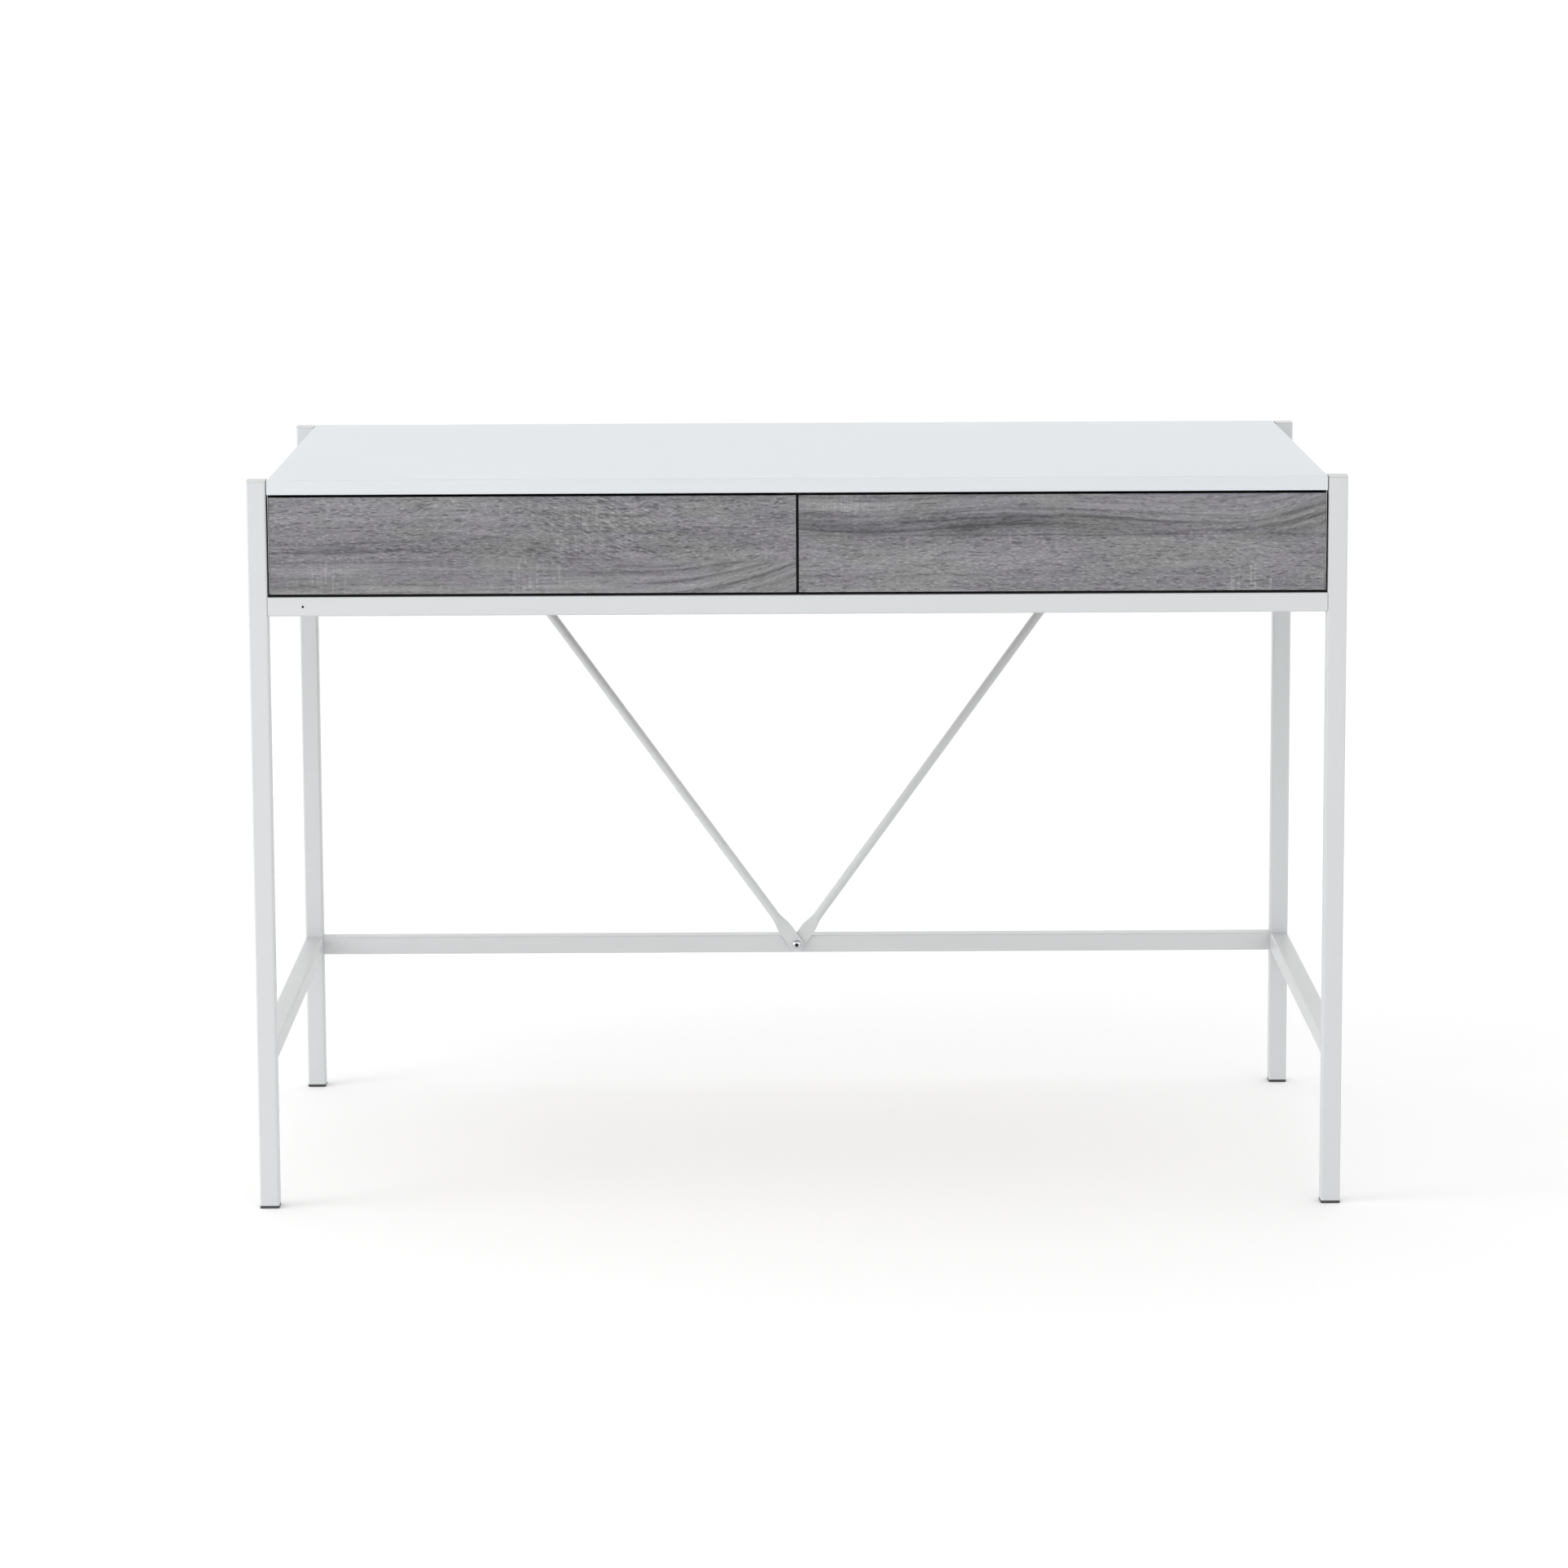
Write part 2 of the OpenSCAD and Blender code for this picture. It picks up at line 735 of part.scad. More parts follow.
drawer_side(-1, -1);  // left_drawer_side_l
drawer_side(-1, 1);  // left_drawer_side_r
drawer_back(-1);  // left_drawer_back
drawer_bottom(-1);  // left_drawer_bottom
drawer_cams(-1);  // left_drawer_cams
drawer_screws(-1);  // left_drawer_screws
drawer_front(1);  // right_drawer_front
drawer_side(1, -1);  // right_drawer_side_l
drawer_side(1, 1);  // right_drawer_side_r
drawer_back(1);  // right_drawer_back
drawer_bottom(1);  // right_drawer_bottom
drawer_cams(1);  // right_drawer_cams
drawer_screws(1);  // right_drawer_screws
latch_body(-1);  // left_latch_body
latch_body(1);  // right_latch_body
latch_plunger(-1);  // left_latch_plunger
latch_plunger(1);  // right_latch_plunger
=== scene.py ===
"""The finished look of a writing desk with two drawers.

It makes the finishes, the eased edges, the brace rods, the fasteners, the slides' balls and
the studio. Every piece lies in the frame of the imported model, in metres, with +Z up and
the desk's front facing -Y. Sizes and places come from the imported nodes' own boxes.
"""

import logging
import math
from dataclasses import dataclass
from enum import Enum
from typing import Any, Callable, Optional, Sequence, Union

import bmesh
import bpy
from mathutils import Matrix, Vector


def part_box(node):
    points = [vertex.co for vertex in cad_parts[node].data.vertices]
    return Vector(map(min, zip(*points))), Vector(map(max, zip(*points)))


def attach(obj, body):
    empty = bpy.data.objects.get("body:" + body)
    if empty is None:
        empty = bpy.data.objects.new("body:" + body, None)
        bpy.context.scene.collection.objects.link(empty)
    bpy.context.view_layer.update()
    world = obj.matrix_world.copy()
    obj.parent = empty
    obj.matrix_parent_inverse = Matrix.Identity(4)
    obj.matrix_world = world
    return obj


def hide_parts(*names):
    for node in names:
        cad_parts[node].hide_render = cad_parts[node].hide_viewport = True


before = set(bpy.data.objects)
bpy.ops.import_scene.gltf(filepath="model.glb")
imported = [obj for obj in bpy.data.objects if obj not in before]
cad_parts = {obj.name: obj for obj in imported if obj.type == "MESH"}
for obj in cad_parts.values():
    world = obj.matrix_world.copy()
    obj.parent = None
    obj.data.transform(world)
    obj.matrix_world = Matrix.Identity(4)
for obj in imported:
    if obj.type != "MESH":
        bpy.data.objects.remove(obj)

log = logging.getLogger("desk")

MM = 0.001
HALF = 0.5
Y_AXIS, Z_AXIS = 1, 2
# the middle of a noise or of any share
MIDDLE = 0.5
# the Mix node's inputs for two numbers, and for two colours
NUMBER_A, NUMBER_B = 2, 3
COLOUR_A, COLOUR_B = 6, 7
# points this near each other are one point, in metres
TOUCHING = 1e-6
# keeps a division off zero
HAIR = 1e-9
# angles in degrees: faces that are level with each other, and the edges that get rounded
LEVEL_ANGLE = 0.2
SHARP_ANGLE = 60.0
# angles in degrees past which an edge stays sharp in the shading
BOARD_CREASE = 40.0
STRIP_CREASE = 50.0
FASTENER_CREASE = 38.0
# a rounded edge: its steps, and how full its curve is
ROUNDING_STEPS = 3
ROUND_PROFILE = 0.5

# a number, a colour, a place, or the socket that gives one
Value = Union[float, Sequence[float], bpy.types.NodeSocket]


# ---- small tools ----


class Wiring:
    """A node tree that is being wired, with short ways to add what the finishes use."""

    def __init__(self, tree: bpy.types.NodeTree) -> None:
        """Starts on an emptied tree.

        Args:
            tree: The shader or geometry tree to fill.
        """
        self.tree = tree
        self.tree.nodes.clear()

    def add(self, kind: str, inputs: Optional[dict] = None, **settings: Any) -> bpy.types.Node:
        """Adds one node.

        Args:
            kind: The node's type, such as ShaderNodeMath.
            inputs: Socket name or number to a value or an output socket.
            **settings: The node's own settings, set before its sockets.

        Returns:
            The new node.
        """
        node = self.tree.nodes.new(kind)
        for key, value in settings.items():
            setattr(node, key, value)
        for key, value in (inputs or {}).items():
            self.feed(node.inputs[key], value)
        return node

    def feed(self, socket: bpy.types.NodeSocket, value: Value) -> None:
        """Sets a socket to a value, or links an output to it.

        Args:
            socket: The input.
            value: What it gets.
        """
        if isinstance(value, bpy.types.NodeSocket):
            self.tree.links.new(value, socket)
        else:
            socket.default_value = value

    def math(self, operation: str, *values: Value, clamp: bool = False) -> bpy.types.NodeSocket:
        """Adds a Math node.

        Args:
            operation: What it does, such as MULTIPLY_ADD.
            *values: Its inputs in order.
            clamp: Whether the result is kept between 0 and 1.

        Returns:
            Its output.
        """
        kind = "ShaderNodeMath"
        node = self.add(kind, dict(enumerate(values)), operation=operation, use_clamp=clamp)
        return node.outputs[0]

    def blend(self, share: Value, a: Value, b: Value) -> bpy.types.NodeSocket:
        """Returns a number that goes from a to b as share goes from 0 to 1."""
        node = self.add("ShaderNodeMix", {0: share, NUMBER_A: a, NUMBER_B: b}, data_type="FLOAT")
        return node.outputs[0]

    def tint(self, share: Value, a: Value, b: Value) -> bpy.types.NodeSocket:
        """Returns a colour that goes from a to b as share goes from 0 to 1."""
        node = self.add("ShaderNodeMix", {0: share, COLOUR_A: a, COLOUR_B: b}, data_type="RGBA")
        return node.outputs[2]

    def ease(self, value: Value, start: float, end: float) -> bpy.types.NodeSocket:
        """Returns 0 before start and 1 after end, with a smooth step between them."""
        node = self.add(
            "ShaderNodeMapRange", {0: value, 1: start, 2: end}, interpolation_type="SMOOTHSTEP"
        )
        return node.outputs[0]

    def stretched(self, place: Value, scale: Sequence[float]) -> bpy.types.NodeSocket:
        """Returns a place scaled along X, Y and Z, so that a pattern on it is stretched."""
        node = self.add("ShaderNodeVectorMath", {0: place, 1: scale}, operation="MULTIPLY")
        return node.outputs[0]

    def mixture(self, a: Value, b: Value, share: float) -> bpy.types.NodeSocket:
        """Returns the sum of a and b, a weighing its share and b the rest."""
        parts = self.math("MULTIPLY", a, share), self.math("MULTIPLY", b, 1.0 - share)
        return self.math("ADD", *parts)

    def swing(self, value: Value, middle: float, reach: float) -> bpy.types.NodeSocket:
        """Returns how far a value is from its middle, times its reach."""
        return self.math("MULTIPLY", self.math("SUBTRACT", value, middle), reach)

    def lay(self, base: Value, value: Value, middle: float, weight: float) -> bpy.types.NodeSocket:
        """Returns the base with a value's distance from its middle laid on it, times a weight."""
        return self.math("MULTIPLY_ADD", self.math("SUBTRACT", value, middle), weight, base)

    def within(
        self, value: Value, centre: float, half: float, hard: float = 0.5
    ) -> bpy.types.NodeSocket:
        """Tells the middle of a range from what is outside it.

        Args:
            value: The value to test.
            centre: The middle of the range.
            half: Half of the range.
            hard: The share of the half range that stays at 1.

        Returns:
            1 in the middle of the range and 0 outside it, with soft ends.
        """
        away = self.math("ABSOLUTE", self.math("SUBTRACT", value, centre))
        return self.math("SUBTRACT", 1.0, self.ease(away, half * hard, half))

    def bump(self, height: Value, distance: float, strength: float = 1.0) -> bpy.types.NodeSocket:
        """Returns a normal for a relief of so many metres."""
        inputs = {"Height": height, "Distance": distance, "Strength": strength}
        return self.add("ShaderNodeBump", inputs).outputs[0]


def scaled(colour: Sequence[float], factor: float) -> tuple[float, float, float, float]:
    """Returns a colour made lighter or darker, and opaque."""
    return (*(part * factor for part in colour), 1.0)


def middle_of(node: str) -> Vector:
    """Returns the middle of a CAD node's box."""
    low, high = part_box(node)
    return (low + high) / 2


def new_piece(name: str, mesh: bpy.types.Mesh, material: bpy.types.Material) -> bpy.types.Object:
    """Adds a mesh to the scene as one piece, dressed in one material.

    Args:
        name: The piece's name.
        mesh: Its mesh, in its place.
        material: Its finish.

    Returns:
        The piece.
    """
    mesh.name = name
    piece = bpy.data.objects.new(name, mesh)
    bpy.context.scene.collection.objects.link(piece)
    mesh.materials.clear()
    mesh.materials.append(material)
    return piece


def hand_over(piece: bpy.types.Object, body: str, slot: str, *nodes: str) -> None:
    """Puts a finished piece on its body and in its CAD nodes' place.

    Args:
        piece: The finished piece.
        body: The CAD body that it moves with.
        slot: The record's material slot; not used.
        *nodes: The CAD nodes that it stands for, if any.
    """
    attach(piece, body)
    if nodes:
        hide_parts(*nodes)
    faces = len(piece.data.polygons)
    log.info("%s: %d faces on %s", piece.name, faces, body)


def dress(node: str, material: bpy.types.Material) -> None:
    """Gives a CAD node that stays its finish.

    Args:
        node: The CAD node.
        material: The finish.
    """
    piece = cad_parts[node]
    if not piece.material_slots:
        piece.data.materials.append(material)
    for slot in piece.material_slots:
        slot.material = material
    log.info("%s: dressed in %s", node, material.name)


def copied(node: str) -> bmesh.types.BMesh:
    """Copies a CAD node's shape as a joined mesh whose flat faces are whole.

    Args:
        node: The CAD node.

    Returns:
        The shape, to be freed by the caller.
    """
    shape = bmesh.new()
    shape.from_mesh(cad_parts[node].data)
    bmesh.ops.remove_doubles(shape, verts=shape.verts, dist=TOUCHING)
    bmesh.ops.dissolve_limit(
        shape, angle_limit=math.radians(LEVEL_ANGLE), verts=shape.verts, edges=shape.edges
    )
    return shape


def finished_mesh(name: str, shape: bmesh.types.BMesh, crease: float) -> bpy.types.Mesh:
    """Turns a shape into a mesh that is shaded smooth but for its creases, and frees it.

    Args:
        name: The mesh's name.
        shape: The shape.
        crease: The angle past which an edge stays sharp, in degrees.

    Returns:
        The mesh.
    """
    mesh = bpy.data.meshes.new(name)
    shape.to_mesh(mesh)
    shape.free()
    mesh.shade_smooth()
    mesh.set_sharp_from_angle(angle=math.radians(crease))
    return mesh


def joined(meshes: list[bpy.types.Mesh], crease: float) -> bpy.types.Mesh:
    """Puts several meshes into one.

    Args:
        meshes: The meshes.
        crease: The angle past which an edge stays sharp, in degrees.

    Returns:
        The one mesh.
    """
    shape = bmesh.new()
    for mesh in meshes:
        shape.from_mesh(mesh)
    return finished_mesh("joined", shape, crease)


def eased(
    node: str, body: str, slot: str, width: float, material: bpy.types.Material
) -> bpy.types.Object:
    """Makes a copy of a CAD node with its sharp edges rounded over, and puts it in the node's place.

    Args:
        node: The CAD node to copy.
        body: The body that it moves with.
        slot: The record's material slot.
        width: How far the rounding reaches from each edge, in metres.
        material: The finish.

    Returns:
        The finished piece.
    """
    shape = copied(node)
    sharp = math.radians(SHARP_ANGLE)
    edges = [e for e in shape.edges if e.is_manifold and e.calc_face_angle() > sharp]
    bmesh.ops.bevel(
        shape, geom=edges, offset=width, offset_type="OFFSET", segments=ROUNDING_STEPS,
        profile=ROUND_PROFILE, affect="EDGES", clamp_overlap=True,
    )
    mesh = finished_mesh(node, shape, BOARD_CREASE)
    piece = new_piece(f"{node}_board", mesh, material)
    piece.modifiers.new("even_shading", "WEIGHTED_NORMAL").keep_sharp = True
    hand_over(piece, body, slot, node)
    return piece


# ---- geometry trees for what repeats or follows a rule ----


class Tree(Wiring):
    """A Geometry Nodes tree with named inputs, and the way to run it on a mesh."""

    KINDS = {
        "Material": "NodeSocketMaterial",
        "Object": "NodeSocketObject",
        "Whole": "NodeSocketInt",
    }

    def __init__(self, name: str, inputs: dict[str, str]) -> None:
        """Makes the tree's group and its sockets.

        Args:
            name: The tree's name.
            inputs: Input name to its kind: Material, Object, Whole or Length.
        """
        super().__init__(bpy.data.node_groups.new(name, "GeometryNodeTree"))
        face = self.tree.interface
        face.new_socket("Geometry", in_out="INPUT", socket_type="NodeSocketGeometry")
        face.new_socket("Geometry", in_out="OUTPUT", socket_type="NodeSocketGeometry")
        for title, kind in inputs.items():
            socket_type = self.KINDS.get(kind, "NodeSocketFloat")
            face.new_socket(title, in_out="INPUT", socket_type=socket_type)
        self.given = self.add("NodeGroupInput").outputs

    def close(self, geometry: bpy.types.NodeSocket) -> None:
        """Ends the tree: instances become real, and the material is set.

        Args:
            geometry: What the tree has made.
        """
        real = self.add("GeometryNodeRealizeInstances", {0: geometry}).outputs[0]
        dressed = self.add(
            "GeometryNodeSetMaterial", {"Geometry": real, "Material": self.given["Material"]}
        )
        self.add("NodeGroupOutput", {0: dressed.outputs[0]})

    def run(self, seed: bpy.types.Mesh, values: dict[str, Any]) -> bpy.types.Mesh:
        """Runs the tree on a mesh and returns the result as a plain mesh.

        Args:
            seed: The mesh that goes in.
            values: Input name to its value.

        Returns:
            The evaluated mesh.
        """
        carrier = bpy.data.objects.new(self.tree.name, seed)
        bpy.context.scene.collection.objects.link(carrier)
        modifier = carrier.modifiers.new(self.tree.name, "NODES")
        modifier.node_group = self.tree
        for item in self.tree.interface.items_tree:
            if item.in_out == "INPUT" and item.name in values:
                modifier[item.identifier] = values[item.name]
        shown = carrier.evaluated_get(bpy.context.evaluated_depsgraph_get())
        mesh = bpy.data.meshes.new_from_object(shown)
        carrier.modifiers.clear()
        bpy.data.objects.remove(carrier)
        return mesh


class RodTree(Tree):
    """Draws a round rod whose two ends are pressed flat, standing on its lower bolt along Z.

    The rod has so many rings, and so many points around, the last on the first. Crowding, from
    0 to 1, is how far the rings gather at the ends. Closing is a hair more than 1, so that the
    last ring closes on itself.
    """

    RINGS = 240
    AROUND = 41
    CROWDING = 0.97
    CLOSING = 1.0002

    def __init__(self) -> None:
        """Wires the rod's rule: a grid wrapped round a line, wide and thin at each end."""
        super().__init__("brace_rod", {
            "Length": "Length", "Diameter": "Length", "Flat width": "Length",
            "Flat thickness": "Length", "Flat length": "Length", "Blend length": "Length",
            "Lower offset": "Length", "Upper offset": "Length", "Material": "Material",
        })
        given = self.given
        grid = self.add("GeometryNodeMeshGrid", {
            "Size X": 1.0, "Size Y": 1.0, "Vertices X": self.AROUND, "Vertices Y": self.RINGS,
        })
        split = self.add("ShaderNodeSeparateXYZ", {0: grid.outputs[1]}).outputs
        turn = self.math("MULTIPLY", split[0], 2 * math.pi)
        along = self.math("MULTIPLY", split[1], 2 * math.pi)
        # rings crowd towards both ends, where the shape changes
        crowd = self.math("MULTIPLY", self.math("SINE", along), self.CROWDING / (2 * math.pi))
        share = self.math("SUBTRACT", split[1], crowd)
        cap = self.math("MULTIPLY", given["Flat width"], HALF)
        reach = self.math("ADD", given["Length"], given["Flat width"])
        z = self.math("SUBTRACT", self.math("MULTIPLY", share, reach), cap)
        from_end = self.math("MINIMUM", z, self.math("SUBTRACT", given["Length"], z))
        blend_end = self.math("ADD", given["Flat length"], given["Blend length"])
        roundness = self.add("ShaderNodeMapRange", {
            0: from_end, 1: given["Flat length"], 2: blend_end,
        }, interpolation_type="SMOOTHSTEP").outputs[0]
        radius = self.math("MULTIPLY", given["Diameter"], HALF)
        half_wide = self.blend(roundness, cap, radius)
        half_thick = self.blend(
            roundness, self.math("MULTIPLY", given["Flat thickness"], HALF), radius
        )
        past = self.math("MAXIMUM", self.math("MULTIPLY", from_end, -self.CLOSING), 0.0)
        past_share = self.math("DIVIDE", past, cap, clamp=True)
        taper = self.math(
            "SQRT", self.math("SUBTRACT", 1.0, self.math("POWER", past_share, 2.0), clamp=True)
        )
        x = self.math("MULTIPLY", self.math("COSINE", turn), half_wide)
        x = self.math("MULTIPLY", x, taper)
        y = self.math("MULTIPLY", self.math("SINE", turn), half_wide)
        y = self.math("MINIMUM", y, half_thick)
        y = self.math("MAXIMUM", y, self.math("MULTIPLY", half_thick, -1.0))
        is_upper = self.math("GREATER_THAN", share, HALF)
        offset = self.blend(is_upper, given["Lower offset"], given["Upper offset"])
        offset = self.math("MULTIPLY", offset, self.math("SUBTRACT", 1.0, roundness))
        place = self.add("ShaderNodeCombineXYZ", {0: x, 1: self.math("ADD", y, offset), 2: z})
        bent = self.add("GeometryNodeSetPosition", {
            "Geometry": grid.outputs[0], "Position": place.outputs[0],
        })
        joined = self.add("GeometryNodeMergeByDistance", {0: bent.outputs[0], "Distance": TOUCHING})
        smooth = self.add("GeometryNodeSetShadeSmooth", {0: joined.outputs[0]})
        self.close(smooth.outputs[0])


class BallTree(Tree):
    """Sets a row of steel balls along every edge that goes in."""

    ROUNDS = 2

    def __init__(self) -> None:
        """Wires the rows."""
        super().__init__("ball_rows", {
            "Balls": "Whole", "Ball diameter": "Length", "Material": "Material",
        })
        line = self.add("GeometryNodeMeshToCurve", {0: self.given["Geometry"]})
        points = self.add("GeometryNodeCurveToPoints", {
            0: line.outputs[0], "Count": self.given["Balls"],
        }, mode="COUNT")
        radius = self.math("MULTIPLY", self.given["Ball diameter"], HALF)
        ball = self.add("GeometryNodeMeshIcoSphere", {
            "Radius": radius, "Subdivisions": self.ROUNDS,
        })
        smooth = self.add("GeometryNodeSetShadeSmooth", {0: ball.outputs[0]})
        placed = self.add("GeometryNodeInstanceOnPoints", {
            "Points": points.outputs[0], "Instance": smooth.outputs[0],
        })
        self.close(placed.outputs[0])


class FastenerTree(Tree):
    """Sets one fastener on every point that goes in, along the point's aim."""

    def __init__(self) -> None:
        """Wires the placing."""
        super().__init__("fasteners", {"Fastener": "Object", "Material": "Material"})
        aim = self.add("GeometryNodeInputNamedAttribute", {0: "aim"}, data_type="FLOAT_VECTOR")
        turn = self.add("FunctionNodeAlignRotationToVector", {"Vector": aim.outputs[0]}, axis="Z")
        shape = self.add("GeometryNodeObjectInfo", {"Object": self.given["Fastener"]})
        placed = self.add("GeometryNodeInstanceOnPoints", {
            "Points": self.given["Geometry"],
            "Instance": shape.outputs["Geometry"],
            "Rotation": turn.outputs[0],
        })
        self.close(placed.outputs[0])


# ---- finishes ----


class Shading(Wiring):
    """A material's tree, with its object coordinates and the shader that its finish goes into."""

    def __init__(self, tree: bpy.types.NodeTree, fixed: dict[str, float]) -> None:
        """Adds the coordinates and the shader.

        Args:
            tree: The material's tree.
            fixed: The shader values that are the same all over.
        """
        super().__init__(tree)
        self.place = self.add("ShaderNodeTexCoord").outputs["Object"]
        self.surface = self.add("ShaderNodeBsdfPrincipled", fixed)

    def facing(self, axis: int) -> bpy.types.NodeSocket:
        """Returns how far the surface looks along an axis, from -1 to 1."""
        normal = self.add("ShaderNodeNewGeometry").outputs["Normal"]
        return self.add("ShaderNodeSeparateXYZ", {0: normal}).outputs[axis]


@dataclass(frozen=True)
class Noise:
    """How fine a noise is: its cells to a metre, the same all round or along X, Y and Z."""

    cells: Union[float, tuple[float, float, float]]
    detail: float = 2.0

    def on(self, shading: Shading, place: Optional[Value] = None) -> bpy.types.NodeSocket:
        """Adds the noise to a material.

        Args:
            shading: The material's tree.
            place: Where it lies; the object coordinates if left out.

        Returns:
            The noise, from 0 to 1.
        """
        place = shading.place if place is None else place
        scale = self.cells
        if isinstance(self.cells, tuple):
            place = shading.stretched(place, self.cells)
            scale = 1.0
        inputs = {0: place, "Scale": scale, "Detail": self.detail}
        return shading.add("ShaderNodeTexNoise", inputs).outputs[0]


@dataclass(frozen=True)
class Finish:
    """What every finish has: a name, a colour, a roughness, and how far it strays from them."""

    name: str
    colour: tuple[float, float, float]
    roughness: float
    dark: float = 0.96
    light: float = 1.03
    satin: tuple[float, float] = (-0.05, 0.05)
    relief: float = 0.02 * MM
    relief_strength: float = 0.5
    specular: float = 0.5

    def material(self) -> bpy.types.Material:
        """Returns the finish as a new material."""
        material = bpy.data.materials.new(self.name)
        material.use_nodes = True
        shading = Shading(material.node_tree, self.fixed())
        self.wire(shading)
        shading.add("ShaderNodeOutputMaterial", {0: shading.surface.outputs[0]})
        return material

    def fixed(self) -> dict[str, float]:
        """Returns the shader values that are the same all over."""
        return {"Specular IOR Level": self.specular}

    def wire(self, shading: Shading) -> None:
        """Wires colour, roughness and relief into the shader.

        Args:
            shading: The material's tree.
        """
        raise NotImplementedError

    def coat(self, shading: Shading, colour: Value, rough: Value, relief: Value) -> None:
        """Links a finish's results to the shader.

        Args:
            shading: The material's tree.
            colour: The colour.
            rough: The roughness.
            relief: The height of the relief, from 0 to 1.
        """
        inputs = shading.surface.inputs
        shading.feed(inputs["Base Color"], colour)
        shading.feed(inputs["Roughness"], rough)
        shading.feed(inputs["Normal"], shading.bump(relief, self.relief, self.relief_strength))

    def shade(self, factor: float) -> tuple[float, float, float, float]:
        """Returns the finish's colour made lighter or darker."""
        return scaled(self.colour, factor)

    def tones(self, shading: Shading, tone: Value) -> bpy.types.NodeSocket:
        """Returns the colour, from its darkest to its lightest as tone goes from 0 to 1."""
        return shading.tint(tone, self.shade(self.dark), self.shade(self.light))

    def sheen(self, shading: Shading, share: Value) -> bpy.types.NodeSocket:
        """Returns the roughness, from one end of its range to the other as share goes up."""
        return shading.blend(share, *(self.roughness + stray for stray in self.satin))


@dataclass(frozen=True)
class PowderCoat(Finish):
    """Satin powder coat on steel, with the fine skin that the powder leaves when it flows out."""

    dark: float = 0.965
    satin: tuple[float, float] = (-0.06, 0.06)
    relief_strength: float = 0.6
    drift: Noise = Noise(7.0, 3.0)
    drift_share: float = 0.7
    speckle: Noise = Noise(2200.0, 1.0)
    gloss: Noise = Noise(60.0)
    peel: Noise = Noise(420.0, 1.0)
    fine_peel: Noise = Noise(1500.0, 1.0)
    fine_peel_share: float = 0.4

    def wire(self, shading: Shading) -> None:
        """Wires a slow drift of tone, a fine speckle and the coat's orange peel.

        Args:
            shading: The material's tree.
        """
        tone = shading.mixture(self.drift.on(shading), self.speckle.on(shading), self.drift_share)
        fine = shading.math("MULTIPLY", self.fine_peel.on(shading), self.fine_peel_share)
        skin = shading.math("ADD", self.peel.on(shading), fine)
        satin = self.sheen(shading, self.gloss.on(shading))
        self.coat(shading, self.tones(shading, tone), satin, skin)


@dataclass(frozen=True)
class RevealShadeBand:
    """Near-black band of painted shade for the dark reveals, with a fine speckle, a trace bluer if so
    asked.
    """

    level: float = 0.008
    dark: float = 0.7
    light: float = 1.3
    blue: float = 0.0

    def colour(self, shading: Shading, speck: Value) -> bpy.types.NodeSocket:
        """Returns the band's colour, from dark to light as speck goes from 0 to 1."""
        ends = [scaled((f, f, f + self.blue), self.level) for f in (self.dark, self.light)]
        return shading.tint(speck, *ends)


@dataclass(frozen=True)
class Laminate(Finish):
    """White melamine laminate, pressed with a fine pearl grain that catches the light.

    The case boards carry a near-black band along their front edges, painted shade for the dark
    reveals.
    """

    dark: float = 0.97
    light: float = 1.025
    satin: tuple[float, float] = (-0.08, 0.08)
    relief: float = 0.015 * MM
    cloud: Noise = Noise(5.0, 4.0)
    cloud_share: float = 0.65
    pearl: Noise = Noise(1400.0)
    pearl_cells: float = 900.0
    shade_banded: bool = False
    band: RevealShadeBand = RevealShadeBand()
    shade_band_turn: tuple[float, float] = (-0.85, -0.7)

    def wire(self, shading: Shading) -> None:
        """Wires a faint cloud of tone, the pearl grain, its sheen and the near-black band of painted
        shade.

        Args:
            shading: The material's tree.
        """
        pearl = self.pearl.on(shading)
        tone = shading.mixture(self.cloud.on(shading), pearl, self.cloud_share)
        colour = self.tones(shading, tone)
        # painted shade: the case boards' front edges go near black, standing for the dark reveals
        # round the drawers
        if self.shade_banded:
            is_board = shading.ease(shading.facing(Y_AXIS), *self.shade_band_turn)
            colour = shading.tint(is_board, self.band.colour(shading, pearl), colour)
        cells = shading.add(
            "ShaderNodeTexVoronoi", {"Vector": shading.place, "Scale": self.pearl_cells}
        )
        self.coat(shading, colour, self.sheen(shading, pearl), cells.outputs[0])


@dataclass(frozen=True)
class Board:
    """How the grain runs in one of the two boards that an oak front is printed with.

    The grain lines follow a long wave, and may sweep up towards the right-hand end.
    """

    tone: float
    lines: float
    strokes: float
    wave_height: float = 0.0
    wave_length: float = 1.0
    wave_peak: float = 0.0
    sweep_height: float = 0.0
    sweep_start: float = 0.7
    drift: float = 4 * MM


@dataclass(frozen=True)
class Layer:
    """One layer of an oak's figure: its noise, its middle and what it weighs on a board.

    Its weight is its share of the board's lines, of its strokes, or the same on every board.
    """

    noise: Noise
    middle: float
    hardened: Optional[tuple[float, float]] = None
    of_lines: float = 0.0
    of_strokes: float = 0.0
    always: float = 0.0

    def weight(self, board: Board) -> float:
        """Returns how strongly the layer shows on a board."""
        return board.lines * self.of_lines + board.strokes * self.of_strokes + self.always


@dataclass(frozen=True)
class Streak:
    """A darker or lighter band that follows the grain, placed in shares of the front."""

    up: float
    half_high: float
    start: float
    end: float
    depth: float


class Mark(Enum):
    """What a patch on an oak front is marked with."""

    SAW = "upright saw marks"
    SLANT = "slanting pores"


@dataclass(frozen=True)
class Patch:
    """A marked patch: its middle and its half sizes, in shares of the front."""

    mark: Mark
    across: float
    up: float
    half_wide: float
    half_high: float
    strength: float = 1.0


